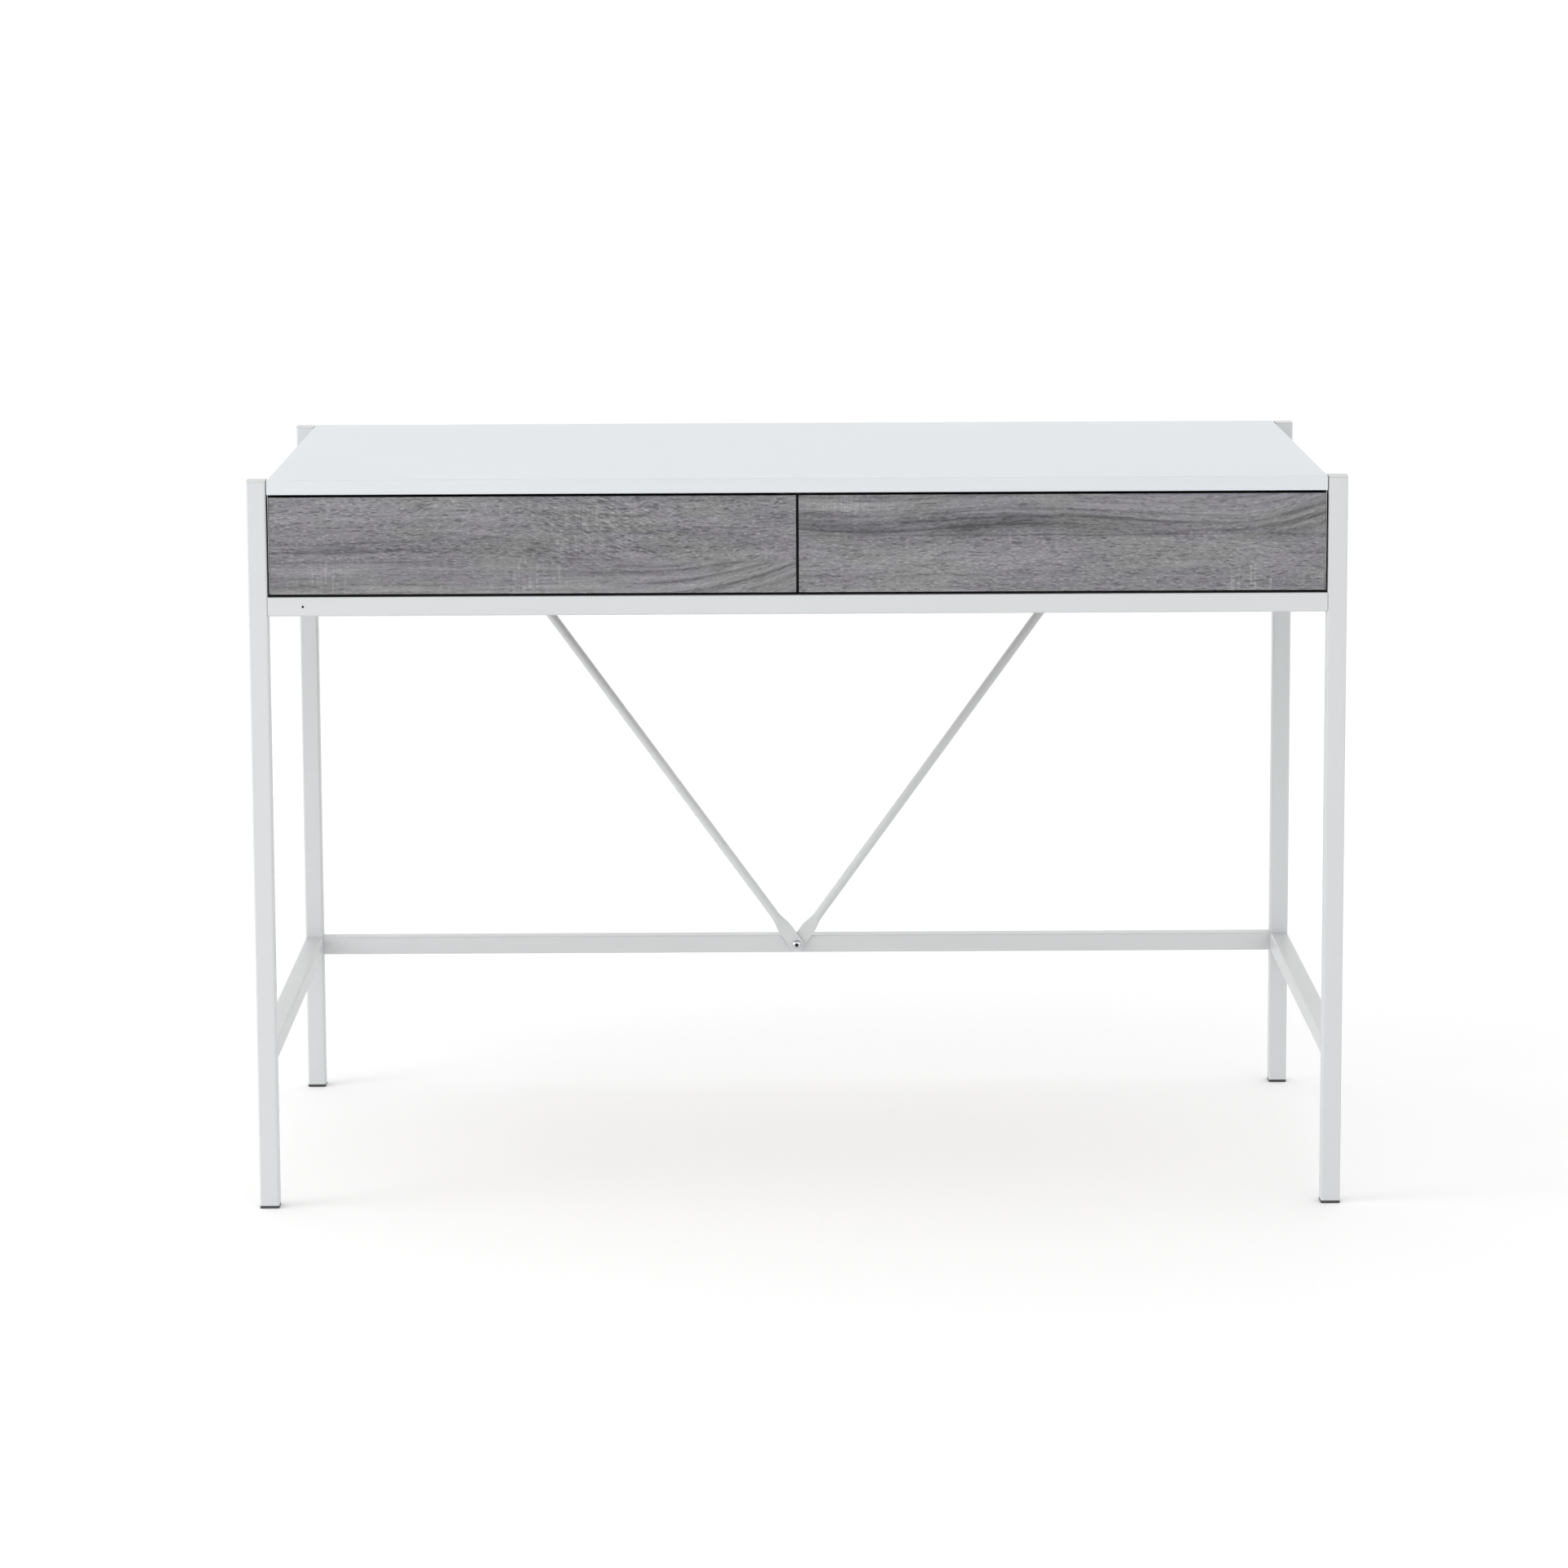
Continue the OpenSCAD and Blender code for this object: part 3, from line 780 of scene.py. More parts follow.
@dataclass(frozen=True)
class GreyOak(Finish):
    """Weathered grey oak laminate, printed as an upper and a lower board with a seam between them.

    The front's four edges carry a near-black band, painted shade for the dark reveals round the
    front.
    """

    relief: float = 0.12 * MM
    relief_strength: float = 0.7
    specular: float = 0.3
    corner: tuple[float, float] = (0.0, 0.0)
    size: tuple[float, float] = (1.0, 1.0)
    upper: Board = Board(0.5, 0.3, 0.3)
    lower: Board = Board(0.5, 0.3, 0.3)
    streaks: tuple[Streak, ...] = ()
    patches: tuple[Patch, ...] = ()
    # the seam: where it lies, how dark and soft it is, and where it fades to the right
    seam: float = 0.5
    seam_depth: float = 0.3
    seam_reach: float = 1.0
    seam_blur: float = 0.004
    seam_half: float = 0.014
    seam_hard: float = 0.2
    seam_waver: float = 0.03
    seam_fade: tuple[float, float] = (-0.1, 0.05)
    waver: Noise = Noise((14.0, 14.0, 14.0))
    # the share of a streak that is dark all over, along the grain and across it
    streak_hard_along: float = 0.6
    streak_hard_across: float = 0.15
    # how the grain lines wander, in two sizes
    wander: Noise = Noise((6.0, 6.0, 16.0))
    wander_share: float = 2.0
    fine_wander: Noise = Noise((48.0, 48.0, 110.0), 1.0)
    fine_wander_share: float = 0.6
    # rings, lines, strokes, pores, flecks and cloud
    layers: tuple[Layer, ...] = (
        Layer(Noise((2.6, 2.6, 120.0), 3.0), 0.5, (0.34, 0.64), of_lines=1.0),
        Layer(Noise((11.0, 11.0, 300.0)), 0.6, (0.32, 0.60), of_lines=0.8),
        Layer(Noise((52.0, 52.0, 430.0), 3.0), 0.5, of_strokes=1.4),
        Layer(Noise((130.0, 130.0, 760.0), 1.0), 0.80, (0.30, 0.48), of_strokes=0.85),
        Layer(Noise((210.0, 210.0, 800.0), 1.0), 0.18, (0.52, 0.68), of_strokes=0.75),
        Layer(Noise((9.0, 9.0, 34.0)), 0.5, always=0.24),
    )
    # upright saw marks, broken up along their height
    saw: Noise = Noise((420.0, 420.0, 26.0))
    saw_hardened: tuple[float, float] = (0.46, 0.70)
    saw_break: Noise = Noise((60.0, 60.0, 300.0), 1.0)
    saw_break_hardened: tuple[float, float] = (0.25, 0.6)
    saw_weight: float = 0.22
    # slanting pores
    slant_angle: float = -24.0
    slant: Noise = Noise((90.0, 90.0, 620.0), 1.0)
    slant_middle: float = 0.55
    slant_spread: float = 1.5
    slant_weight: float = 0.7
    # tone to colour, and the cooler and warmer hues that lie over it in patches
    ramp: tuple[tuple[float, float], ...] = (
        (0.0, 0.34), (0.3, 0.68), (0.5, 1.0), (0.75, 1.42), (1.0, 1.9),
    )
    hue: Noise = Noise((10.0, 10.0, 30.0))
    hue_follows_tone: float = 0.25
    hue_hardened: tuple[float, float] = (0.42, 0.62)
    cool: tuple[float, float, float, float] = (0.998, 0.983, 1.022, 1.0)
    warm: tuple[float, float, float, float] = (0.999, 1.008, 0.975, 1.0)
    # darker grain is rougher
    rough_swing: float = -0.16
    rough_base: float = 0.08
    # a near-black band of painted shade on the front's edges, for the dark reveals round it
    band: RevealShadeBand = RevealShadeBand(blue=0.02)
    shade_band_turn: tuple[float, float] = (0.45, 0.6)
    shade_band_speck: Noise = Noise(900.0)

    def flow(
        self, shading: Shading, across: bpy.types.NodeSocket, board: Board
    ) -> bpy.types.NodeSocket:
        """Moves the place up or down so that the grain on it runs as the board's does.

        Args:
            shading: The material's tree.
            across: The share of the front's width, from 0 at its left end.
            board: The board.

        Returns:
            The moved place.
        """
        turn = 2 * math.pi / board.wave_length
        phase = shading.swing(across, board.wave_peak, turn)
        wave = shading.math("MULTIPLY", shading.math("COSINE", phase), board.wave_height)
        run = shading.math("SUBTRACT", across, board.sweep_start)
        run = shading.math("DIVIDE", run, 1.0 - board.sweep_start, clamp=True)
        sweep = shading.math("MULTIPLY", shading.math("POWER", run, 2.0), board.sweep_height)
        wander = shading.swing(self.wander.on(shading), MIDDLE, self.wander_share * board.drift)
        fine = shading.swing(
            self.fine_wander.on(shading), MIDDLE, self.fine_wander_share * board.drift
        )
        rise = shading.math("ADD", shading.math("ADD", wave, sweep),
                            shading.math("ADD", wander, fine))
        down = shading.add("ShaderNodeCombineXYZ", {2: shading.math("MULTIPLY", rise, -1.0)})
        moved = shading.add(
            "ShaderNodeVectorMath", {0: shading.place, 1: down.outputs[0]}, operation="ADD"
        )
        return moved.outputs[0]

    def figure(
        self, shading: Shading, place: bpy.types.NodeSocket, board: Board
    ) -> bpy.types.NodeSocket:
        """Lays the layers of a board's figure on a place that already flows.

        Args:
            shading: The material's tree.
            place: The place, moved along the grain.
            board: The board.

        Returns:
            The tone, about 0 to 1.
        """
        tone = shading.math("ADD", board.tone, 0.0)
        for layer in self.layers:
            value = layer.noise.on(shading, place)
            if layer.hardened:
                value = shading.ease(value, *layer.hardened)
            tone = shading.lay(tone, value, layer.middle, layer.weight(board))
        return tone

    def share_up(self, shading: Shading, place: bpy.types.NodeSocket) -> bpy.types.NodeSocket:
        """Finds how far up the front a place is.

        Args:
            shading: The material's tree.
            place: The place.

        Returns:
            The share, from 0 at the front's bottom edge to 1 at its top.
        """
        height = shading.add("ShaderNodeSeparateXYZ", {0: place}).outputs[2]
        above = shading.math("SUBTRACT", height, self.corner[1])
        return shading.math("DIVIDE", above, self.size[1])

    def add_seam(
        self, shading: Shading, tone: bpy.types.NodeSocket, line: bpy.types.NodeSocket,
        across: bpy.types.NodeSocket,
    ) -> bpy.types.NodeSocket:
        """Lays the dark seam between the boards on a tone.

        Args:
            shading: The material's tree.
            tone: The tone so far.
            line: The share of the front's height, wavering as the seam does.
            across: The share of the front's width.

        Returns:
            The new tone.
        """
        groove = shading.within(line, self.seam, self.seam_half, self.seam_hard)
        fade = shading.ease(across, *(self.seam_reach + end for end in self.seam_fade))
        groove = shading.math("MULTIPLY", groove, shading.math("SUBTRACT", 1.0, fade))
        return shading.math("MULTIPLY_ADD", groove, -self.seam_depth, tone)

    def add_streaks(
        self, shading: Shading, tone: bpy.types.NodeSocket, across: bpy.types.NodeSocket,
        up: bpy.types.NodeSocket,
    ) -> bpy.types.NodeSocket:
        """Lays each streak on a tone.

        Args:
            shading: The material's tree.
            tone: The tone so far.
            across: The share of the front's width.
            up: The share of the front's height, following the grain.

        Returns:
            The new tone.
        """
        for streak in self.streaks:
            centre, half = (streak.start + streak.end) / 2, (streak.end - streak.start) / 2
            along = shading.within(across, centre, half, self.streak_hard_along)
            high = shading.within(up, streak.up, streak.half_high, self.streak_hard_across)
            here = shading.math("MULTIPLY", along, high)
            tone = shading.math("MULTIPLY_ADD", here, -streak.depth, tone)
        return tone

    def add_patches(
        self, shading: Shading, tone: bpy.types.NodeSocket, across: bpy.types.NodeSocket,
        up: bpy.types.NodeSocket,
    ) -> bpy.types.NodeSocket:
        """Lays the saw marks and the slanting pores on a tone.

        Args:
            shading: The material's tree.
            tone: The tone so far.
            across: The share of the front's width.
            up: The share of the front's height.

        Returns:
            The new tone.
        """
        upright = shading.ease(self.saw.on(shading), *self.saw_hardened)
        broken = shading.ease(self.saw_break.on(shading), *self.saw_break_hardened)
        turned = shading.add("ShaderNodeVectorRotate", {
            "Vector": shading.place, "Angle": math.radians(self.slant_angle),
        }, rotation_type="Y_AXIS").outputs[0]
        slant = self.slant.on(shading, turned)
        drawn = {
            Mark.SAW: (shading.math("MULTIPLY", upright, broken), self.saw_weight),
            Mark.SLANT: (shading.swing(slant, self.slant_middle, self.slant_spread),
                         self.slant_weight),
        }
        for patch in self.patches:
            pattern, weight = drawn[patch.mark]
            wide = shading.within(across, patch.across, patch.half_wide)
            high = shading.within(up, patch.up, patch.half_high)
            here = shading.math("MULTIPLY", shading.math("MULTIPLY", wide, high), pattern)
            tone = shading.math("MULTIPLY_ADD", here, weight * patch.strength, tone)
        return tone

    def hued(self, shading: Shading, tone: bpy.types.NodeSocket) -> bpy.types.NodeSocket:
        """Turns the tone into the oak's colour, with cooler and warmer patches.

        Args:
            shading: The material's tree.
            tone: The tone, about 0 to 1.

        Returns:
            The colour.
        """
        ramp = shading.add("ShaderNodeValToRGB", {0: tone})
        while len(ramp.color_ramp.elements) < len(self.ramp):
            ramp.color_ramp.elements.new(MIDDLE)
        for element, (at, factor) in zip(ramp.color_ramp.elements, self.ramp):
            element.position = at
            element.color = self.shade(factor)
        patch = shading.lay(self.hue.on(shading), tone, MIDDLE, self.hue_follows_tone)
        hue = shading.tint(shading.ease(patch, *self.hue_hardened), self.cool, self.warm)
        tinted = shading.add("ShaderNodeMix", {
            0: 1.0, COLOUR_A: ramp.outputs[0], COLOUR_B: hue,
        }, data_type="RGBA", blend_type="MULTIPLY")
        return tinted.outputs[2]

    def wire(self, shading: Shading) -> None:
        """Wires the boards, their seam, the streaks and patches, the painted shade on the edges and
        the relief.

        Args:
            shading: The material's tree.
        """
        parts = shading.add("ShaderNodeSeparateXYZ", {0: shading.place}).outputs
        across = shading.math("SUBTRACT", parts[0], self.corner[0])
        across = shading.math("DIVIDE", across, self.size[0])
        up = self.share_up(shading, shading.place)
        tones, heights = [], []
        for board in (self.lower, self.upper):
            flowing = self.flow(shading, across, board)
            tones.append(self.figure(shading, flowing, board))
            heights.append(self.share_up(shading, flowing))
        line = shading.lay(up, self.waver.on(shading), MIDDLE, self.seam_waver)
        is_upper = shading.ease(line, self.seam - self.seam_blur, self.seam + self.seam_blur)
        tone = self.add_seam(shading, shading.blend(is_upper, *tones), line, across)
        tone = self.add_streaks(shading, tone, across, shading.blend(is_upper, *heights))
        tone = self.add_patches(shading, tone, across, up)
        facing = shading.math("ABSOLUTE", shading.facing(Y_AXIS))
        # painted shade: the edges go near black for the dark reveals round the front
        black = self.band.colour(shading, self.shade_band_speck.on(shading))
        colour = shading.tint(
            shading.ease(facing, *self.shade_band_turn), black, self.hued(shading, tone)
        )
        rough = shading.math(
            "MULTIPLY_ADD", tone, self.rough_swing, self.roughness + self.rough_base
        )
        self.coat(shading, colour, rough, tone)


@dataclass(frozen=True)
class FoilBoard(Finish):
    """Paper foil on the drawer boards, with a faint linen weave pressed into it.

    A wave texture of scale 1 repeats every wave_step metres.
    """

    relief_strength: float = 0.6
    thread: float = 0.8 * MM
    wave_step: float = 0.314
    waviness: float = 2.5
    wave_detail: float = 1.0
    wave_detail_scale: float = 4.0
    weave_share: float = 0.4
    drift: Noise = Noise(9.0, 3.0)

    def wire(self, shading: Shading) -> None:
        """Wires the two sets of threads and a slow drift of tone.

        Args:
            shading: The material's tree.
        """
        rows = []
        for direction in ("Z", "DIAGONAL"):
            wave = shading.add("ShaderNodeTexWave", {
                "Vector": shading.place, "Scale": self.wave_step / self.thread,
                "Distortion": self.waviness, "Detail": self.wave_detail,
                "Detail Scale": self.wave_detail_scale,
            }, bands_direction=direction)
            rows.append(wave.outputs["Fac"])
        weave = shading.math("MULTIPLY", *rows)
        drift = self.drift.on(shading)
        tone = shading.mixture(weave, drift, self.weave_share)
        self.coat(shading, self.tones(shading, tone), self.sheen(shading, drift), weave)


@dataclass(frozen=True)
class Hardboard(Finish):
    """Hardboard, lacquered white on top and left brown and fibrous underneath."""

    relief: float = 0.06 * MM
    underside: tuple[float, float, float] = (0.19, 0.115, 0.065)
    raw_dark: float = 0.55
    raw_light: float = 1.5
    raw_roughness: float = 0.8
    top_turn: tuple[float, float] = (0.2, 0.6)
    fibre: Noise = Noise((260.0, 700.0, 700.0), 4.0)
    cloud: Noise = Noise(12.0, 3.0)

    def wire(self, shading: Shading) -> None:
        """Wires the lacquered and the raw face, told apart by which way they look.

        Args:
            shading: The material's tree.
        """
        is_top = shading.ease(shading.facing(Z_AXIS), *self.top_turn)
        fibre = self.fibre.on(shading)
        ends = [scaled(self.underside, factor) for factor in (self.raw_dark, self.raw_light)]
        raw = shading.tint(fibre, *ends)
        lacquer = self.tones(shading, self.cloud.on(shading))
        rough = shading.blend(is_top, self.raw_roughness, self.roughness)
        self.coat(shading, shading.tint(is_top, raw, lacquer), rough, fibre)


@dataclass(frozen=True)
class ZincPlate(Finish):
    """Bright zinc on steel, with the fine lines that rolling or turning leaves along the part.

    Where a mesh marks a drive's recess, the plate is painted nearly black, as painted shade in the
    recess.
    """

    dark: float = 0.86
    light: float = 1.1
    satin: tuple[float, float] = (-0.08, 0.12)
    relief: float = 0.01 * MM
    cloud: Noise = Noise(85.0, 3.0)
    cloud_share: float = 0.5
    lines: Noise = Noise((1500.0, 1500.0, 1500.0))
    recess_shade: tuple[float, float, float, float] = (0.03, 0.03, 0.032, 1.0)

    def fixed(self) -> dict[str, float]:
        """Returns the shader values that are the same all over."""
        return {"Metallic": 1.0}

    def wire(self, shading: Shading) -> None:
        """Wires the plate's clouding, its lines and the painted shade in the recesses.

        Args:
            shading: The material's tree.
        """
        line = self.lines.on(shading)
        tone = shading.mixture(self.cloud.on(shading), line, self.cloud_share)
        # painted shade: the drive's recess goes nearly black
        recess = shading.add("ShaderNodeAttribute", attribute_name="recess").outputs["Fac"]
        colour = shading.tint(recess, self.tones(shading, tone), self.recess_shade)
        self.coat(shading, colour, self.sheen(shading, line), line)


@dataclass(frozen=True)
class Plastic(Finish):
    """Moulded plastic with a fine sparked texture and a little wear."""

    satin: tuple[float, float] = (0.05, -0.1)
    relief: float = 0.03 * MM
    wear: float = 0.06
    spark: Noise = Noise(1900.0)
    spark_share: float = 0.4
    rub: Noise = Noise(130.0, 4.0)
    rub_hardened: tuple[float, float] = (0.4, 0.75)

    def wire(self, shading: Shading) -> None:
        """Wires the texture, and the tone that handling leaves.

        Args:
            shading: The material's tree.
        """
        spark = self.spark.on(shading)
        rubbed = shading.ease(self.rub.on(shading), *self.rub_hardened)
        tone = shading.mixture(spark, rubbed, self.spark_share)
        colour = shading.tint(tone, self.shade(1.0 - self.wear), self.shade(1.0 + self.wear))
        self.coat(shading, colour, self.sheen(shading, rubbed), spark)


@dataclass(frozen=True)
class StudioPaper(Finish):
    """The pale floor that the desk stands on."""

    dark: float = 0.995
    light: float = 1.0
    cloud: Noise = Noise(0.8)

    def wire(self, shading: Shading) -> None:
        """Wires a barely uneven white.

        Args:
            shading: The material's tree.
        """
        colour = self.tones(shading, self.cloud.on(shading))
        shading.feed(shading.surface.inputs["Base Color"], colour)
        shading.surface.inputs["Roughness"].default_value = self.roughness


def oak_front(side: str) -> GreyOak:
    """Returns the oak of one drawer front: each front shows its own pair of boards.

    Args:
        side: left or right.

    Returns:
        The finish, placed on that front.
    """
    low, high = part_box(f"{side}_drawer_front")
    place = {
        "corner": (low.x, low.z),
        "size": (high.x - low.x, high.z - low.z),
        "colour": (0.176, 0.174, 0.182),
        "roughness": 0.55,
    }
    if side == "left":
        return GreyOak(
            name="grey_oak_left", seam=0.33, seam_depth=0.16, seam_reach=0.32, seam_blur=0.05,
            upper=Board(tone=0.50, lines=0.10, strokes=0.34, wave_height=4 * MM,
                        wave_length=0.9, wave_peak=0.28, drift=5 * MM),
            lower=Board(tone=0.52, lines=0.20, strokes=0.22, sweep_height=34 * MM,
                        sweep_start=0.70, drift=2 * MM),
            streaks=(Streak(0.47, 0.15, -0.3, 0.66, 0.13), Streak(0.43, 0.03, -0.3, 0.45, 0.14),
                     Streak(0.52, 0.025, -0.3, 0.40, 0.12), Streak(0.22, 0.025, 0.60, 1.2, 0.16),
                     Streak(0.10, 0.025, 0.70, 1.2, 0.20), Streak(-0.02, 0.025, 0.70, 1.2, 0.20),
                     Streak(-0.14, 0.03, 0.70, 1.2, 0.20), Streak(0.85, 0.20, 0.0, 0.5, -0.03)),
            patches=(Patch(Mark.SAW, 0.09, 0.16, 0.08, 0.26), Patch(Mark.SAW, 0.51, 0.18, 0.07, 0.26),
                     Patch(Mark.SAW, 0.62, 0.66, 0.10, 0.36, 0.7),
                     Patch(Mark.SLANT, 0.59, 0.60, 0.16, 0.50, 0.6),
                     Patch(Mark.SLANT, 0.76, 0.80, 0.22, 0.30, 0.35)),
            **place,
        )
    return GreyOak(
        name="grey_oak_right", seam=0.58, seam_depth=0.16, seam_blur=0.006,
        upper=Board(tone=0.44, lines=0.22, strokes=0.24, wave_height=4 * MM,
                    wave_length=0.66, wave_peak=0.47, sweep_height=14 * MM, sweep_start=0.80,
                    drift=4 * MM),
        lower=Board(tone=0.53, lines=0.10, strokes=0.32, drift=4 * MM),
        streaks=(Streak(0.62, 0.12, 0.22, 0.80, 0.20), Streak(0.66, 0.02, -0.3, 0.60, 0.22),
                 Streak(0.74, 0.02, 0.10, 0.90, 0.16), Streak(0.81, 0.02, -0.2, 0.95, 0.14),
                 Streak(0.66, 0.04, 0.72, 1.2, 0.20), Streak(0.56, 0.03, 0.80, 1.2, 0.18),
                 Streak(0.98, 0.10, -0.3, 0.36, -0.08)),
        patches=(Patch(Mark.SAW, 0.10, 0.92, 0.12, 0.16, 0.8), Patch(Mark.SAW, 0.86, 0.14, 0.07, 0.2),
                 Patch(Mark.SLANT, 0.55, 0.28, 0.5, 0.4, 0.22)),
        **place,
    )


class Palette:
    """Every material of the desk, made once."""

    def __init__(self) -> None:
        """Makes the materials."""
        board_white = (0.598, 0.624, 0.645)
        self.steel = PowderCoat("white_powder_coat", (0.553, 0.566, 0.573), 0.42).material()
        self.laminate = Laminate("white_laminate", board_white, 0.46).material()
        # the case boards' front edges carry a near-black band of painted shade
        self.case = Laminate("white_laminate_banded", board_white, 0.46, shade_banded=True).material()
        self.oak = {side: oak_front(side).material() for side in ("left", "right")}
        self.foil = FoilBoard("drawer_foil", (0.64, 0.64, 0.63), 0.55).material()
        self.hardboard = Hardboard("drawer_hardboard", (0.60, 0.60, 0.58), 0.5).material()
        self.zinc = ZincPlate("bright_zinc", (0.62, 0.63, 0.65), 0.30).material()
        self.slide_steel = ZincPlate(
            "slide_zinc", (0.58, 0.59, 0.60), 0.34, lines=Noise((2600.0, 18.0, 2600.0))
        ).material()
        self.ball_steel = ZincPlate("ball_steel", (0.70, 0.70, 0.71), 0.16).material()
        self.cap = Plastic("light_cap_plastic", (0.57, 0.575, 0.57), 0.5).material()
        self.glide = Plastic("dark_glide_plastic", (0.045, 0.045, 0.047), 0.55,
                             wear=0.25).material()
        # painted shade: a black strip on the front rail stands for the dark gap under the drawer
        # fronts
        self.gap_shade = Plastic("black_foam", (0.008, 0.008, 0.008), 0.9, wear=0.3).material()
        self.latch = Plastic("grey_latch_plastic", (0.33, 0.33, 0.34), 0.45).material()


# ---- the desk's sub-assemblies ----


@dataclass
class SteelFrame:
    """The square tubes: legs, rails and stretchers. Their shapes stay as packed."""

    tubes: tuple[str, ...] = (
        "front_left_leg", "front_right_leg", "rear_left_leg", "rear_right_leg",
        "left_stretcher", "right_stretcher", "rear_stretcher",
        "front_rail", "rear_rail", "left_side_rail", "right_side_rail",
    )

    def build(self, palette: Palette) -> None:
        """Coats every tube."""
        for tube in self.tubes:
            dress(tube, palette.steel)


@dataclass
class LegEnds:
    """The caps and glides that close the legs."""

    easing: float = 0.7 * MM

    def build(self, palette: Palette) -> None:
        """Rounds the caps' and glides' edges and gives them their plastics.

        Args:
            palette: The desk's materials.
        """
        for end in ("front", "rear"):
            for side in ("left", "right"):
                leg = f"{end}_{side}"
                eased(f"{leg}_cap", "frame", "cap_plastic", self.easing, palette.cap)
                eased(f"{leg}_foot", "frame", "foot_plastic", self.easing, palette.glide)


@dataclass
class BraceRods:
    """The two rods of the V brace, from the middle of the rear stretcher to the rear rail."""

    flat_width: float = 16 * MM
    flat_thickness: float = 2.5 * MM
    flat_length: float = 21.5 * MM
    blend_length: float = 20 * MM

    def build(self, palette: Palette) -> None:
        """Draws both rods with one rule. The left rod's lower flat lies in front of the right's.

        Args:
            palette: The desk's materials.
        """
        tree = RodTree()
        foot = middle_of("rear_stretcher")
        head = middle_of("rear_rail")
        front_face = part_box("rear_stretcher")[0].y
        axis_y = front_face - self.flat_thickness
        for side, sign in (("left", -1), ("right", 1)):
            node = f"{side}_brace_rod"
            low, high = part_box(node)
            outer = max(abs(low.x), abs(high.x)) - self.flat_width / 2
            start = Vector((0.0, axis_y, foot.z))
            end = Vector((sign * outer, axis_y, head.z))
            half = self.flat_thickness / 2
            mesh = tree.run(bpy.data.meshes.new("rod_seed"), {
                "Length": (end - start).length,
                "Diameter": high.y - low.y,
                "Flat width": self.flat_width,
                "Flat thickness": self.flat_thickness,
                "Flat length": self.flat_length,
                "Blend length": self.blend_length,
                "Lower offset": half if side == "right" else -half,
                "Upper offset": half,
                "Material": palette.steel,
            })
            lean = math.atan2(end.x - start.x, end.z - start.z)
            mesh.transform(Matrix.Translation(start) @ Matrix.Rotation(lean, 4, "Y"))
            piece = new_piece(f"{node}_bar", mesh, palette.steel)
            hand_over(piece, "frame", "white_steel", node)


@dataclass
class TopAndCase:
    """The desktop and the boards of the drawer case."""

    top_easing: float = 0.9 * MM
    case_easing: float = 0.4 * MM
    case_boards: tuple[str, ...] = (
        "left_side_panel", "right_side_panel", "back_panel", "centre_divider",
    )
    strip_height: float = 0.8 * MM
    strip_setback: float = 0.4 * MM
    strip_depth: float = 17 * MM
    strip_easing: float = 0.2 * MM
    strip_steps: int = 2

    def strip(self, palette: Palette) -> None:
        """Lays a black strip on the front rail, under the drawer fronts, as painted shade for the gap
        below them.

        Args:
            palette: The desk's materials.
        """
        low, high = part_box("front_rail")
        shape = bmesh.new()
        bmesh.ops.create_cube(shape, size=1.0)
        size = Vector((high.x - low.x - 2 * self.strip_setback, self.strip_depth,
                       self.strip_height))
        middle = Vector(((low.x + high.x) / 2, low.y + self.strip_setback + self.strip_depth / 2,
                         high.z + self.strip_height / 2))
        bmesh.ops.scale(shape, vec=size, verts=shape.verts)
        bmesh.ops.translate(shape, vec=middle, verts=shape.verts)
        bmesh.ops.bevel(shape, geom=shape.edges[:], offset=self.strip_easing,
                        segments=self.strip_steps, affect="EDGES")
        mesh = finished_mesh("strip", shape, STRIP_CREASE)
        # the strip is painted shade for the gap under the drawer fronts
        hand_over(new_piece("front_rail_strip", mesh, palette.gap_shade), "frame", "foot_plastic")

    def build(self, palette: Palette) -> None:
        """Rounds the boards' edges, faces them with laminate and lays the strip of painted shade.

        Args:
            palette: The desk's materials.
        """
        self.strip(palette)
        eased("desktop", "frame", "white_laminate", self.top_easing, palette.laminate)
        for board in self.case_boards:
            eased(board, "frame", "white_laminate", self.case_easing, palette.case)


@dataclass
class Drawer:
    """One drawer: its oak front and the boards of its box."""

    side: str
    front_easing: float = 0.8 * MM
    box_easing: float = 0.4 * MM
    bottom_easing: float = 0.2 * MM

    def build(self, palette: Palette) -> None:
        """Rounds the boards' edges and gives each its facing.

        Args:
            palette: The desk's materials.
        """
        name = f"{self.side}_drawer"
        eased(f"{name}_front", name, "grey_oak", self.front_easing, palette.oak[self.side])
        for board in ("side_l", "side_r", "back"):
            eased(f"{name}_{board}", name, "drawer_board", self.box_easing, palette.foil)
        eased(f"{name}_bottom", name, "bottom_board", self.bottom_easing, palette.hardboard)


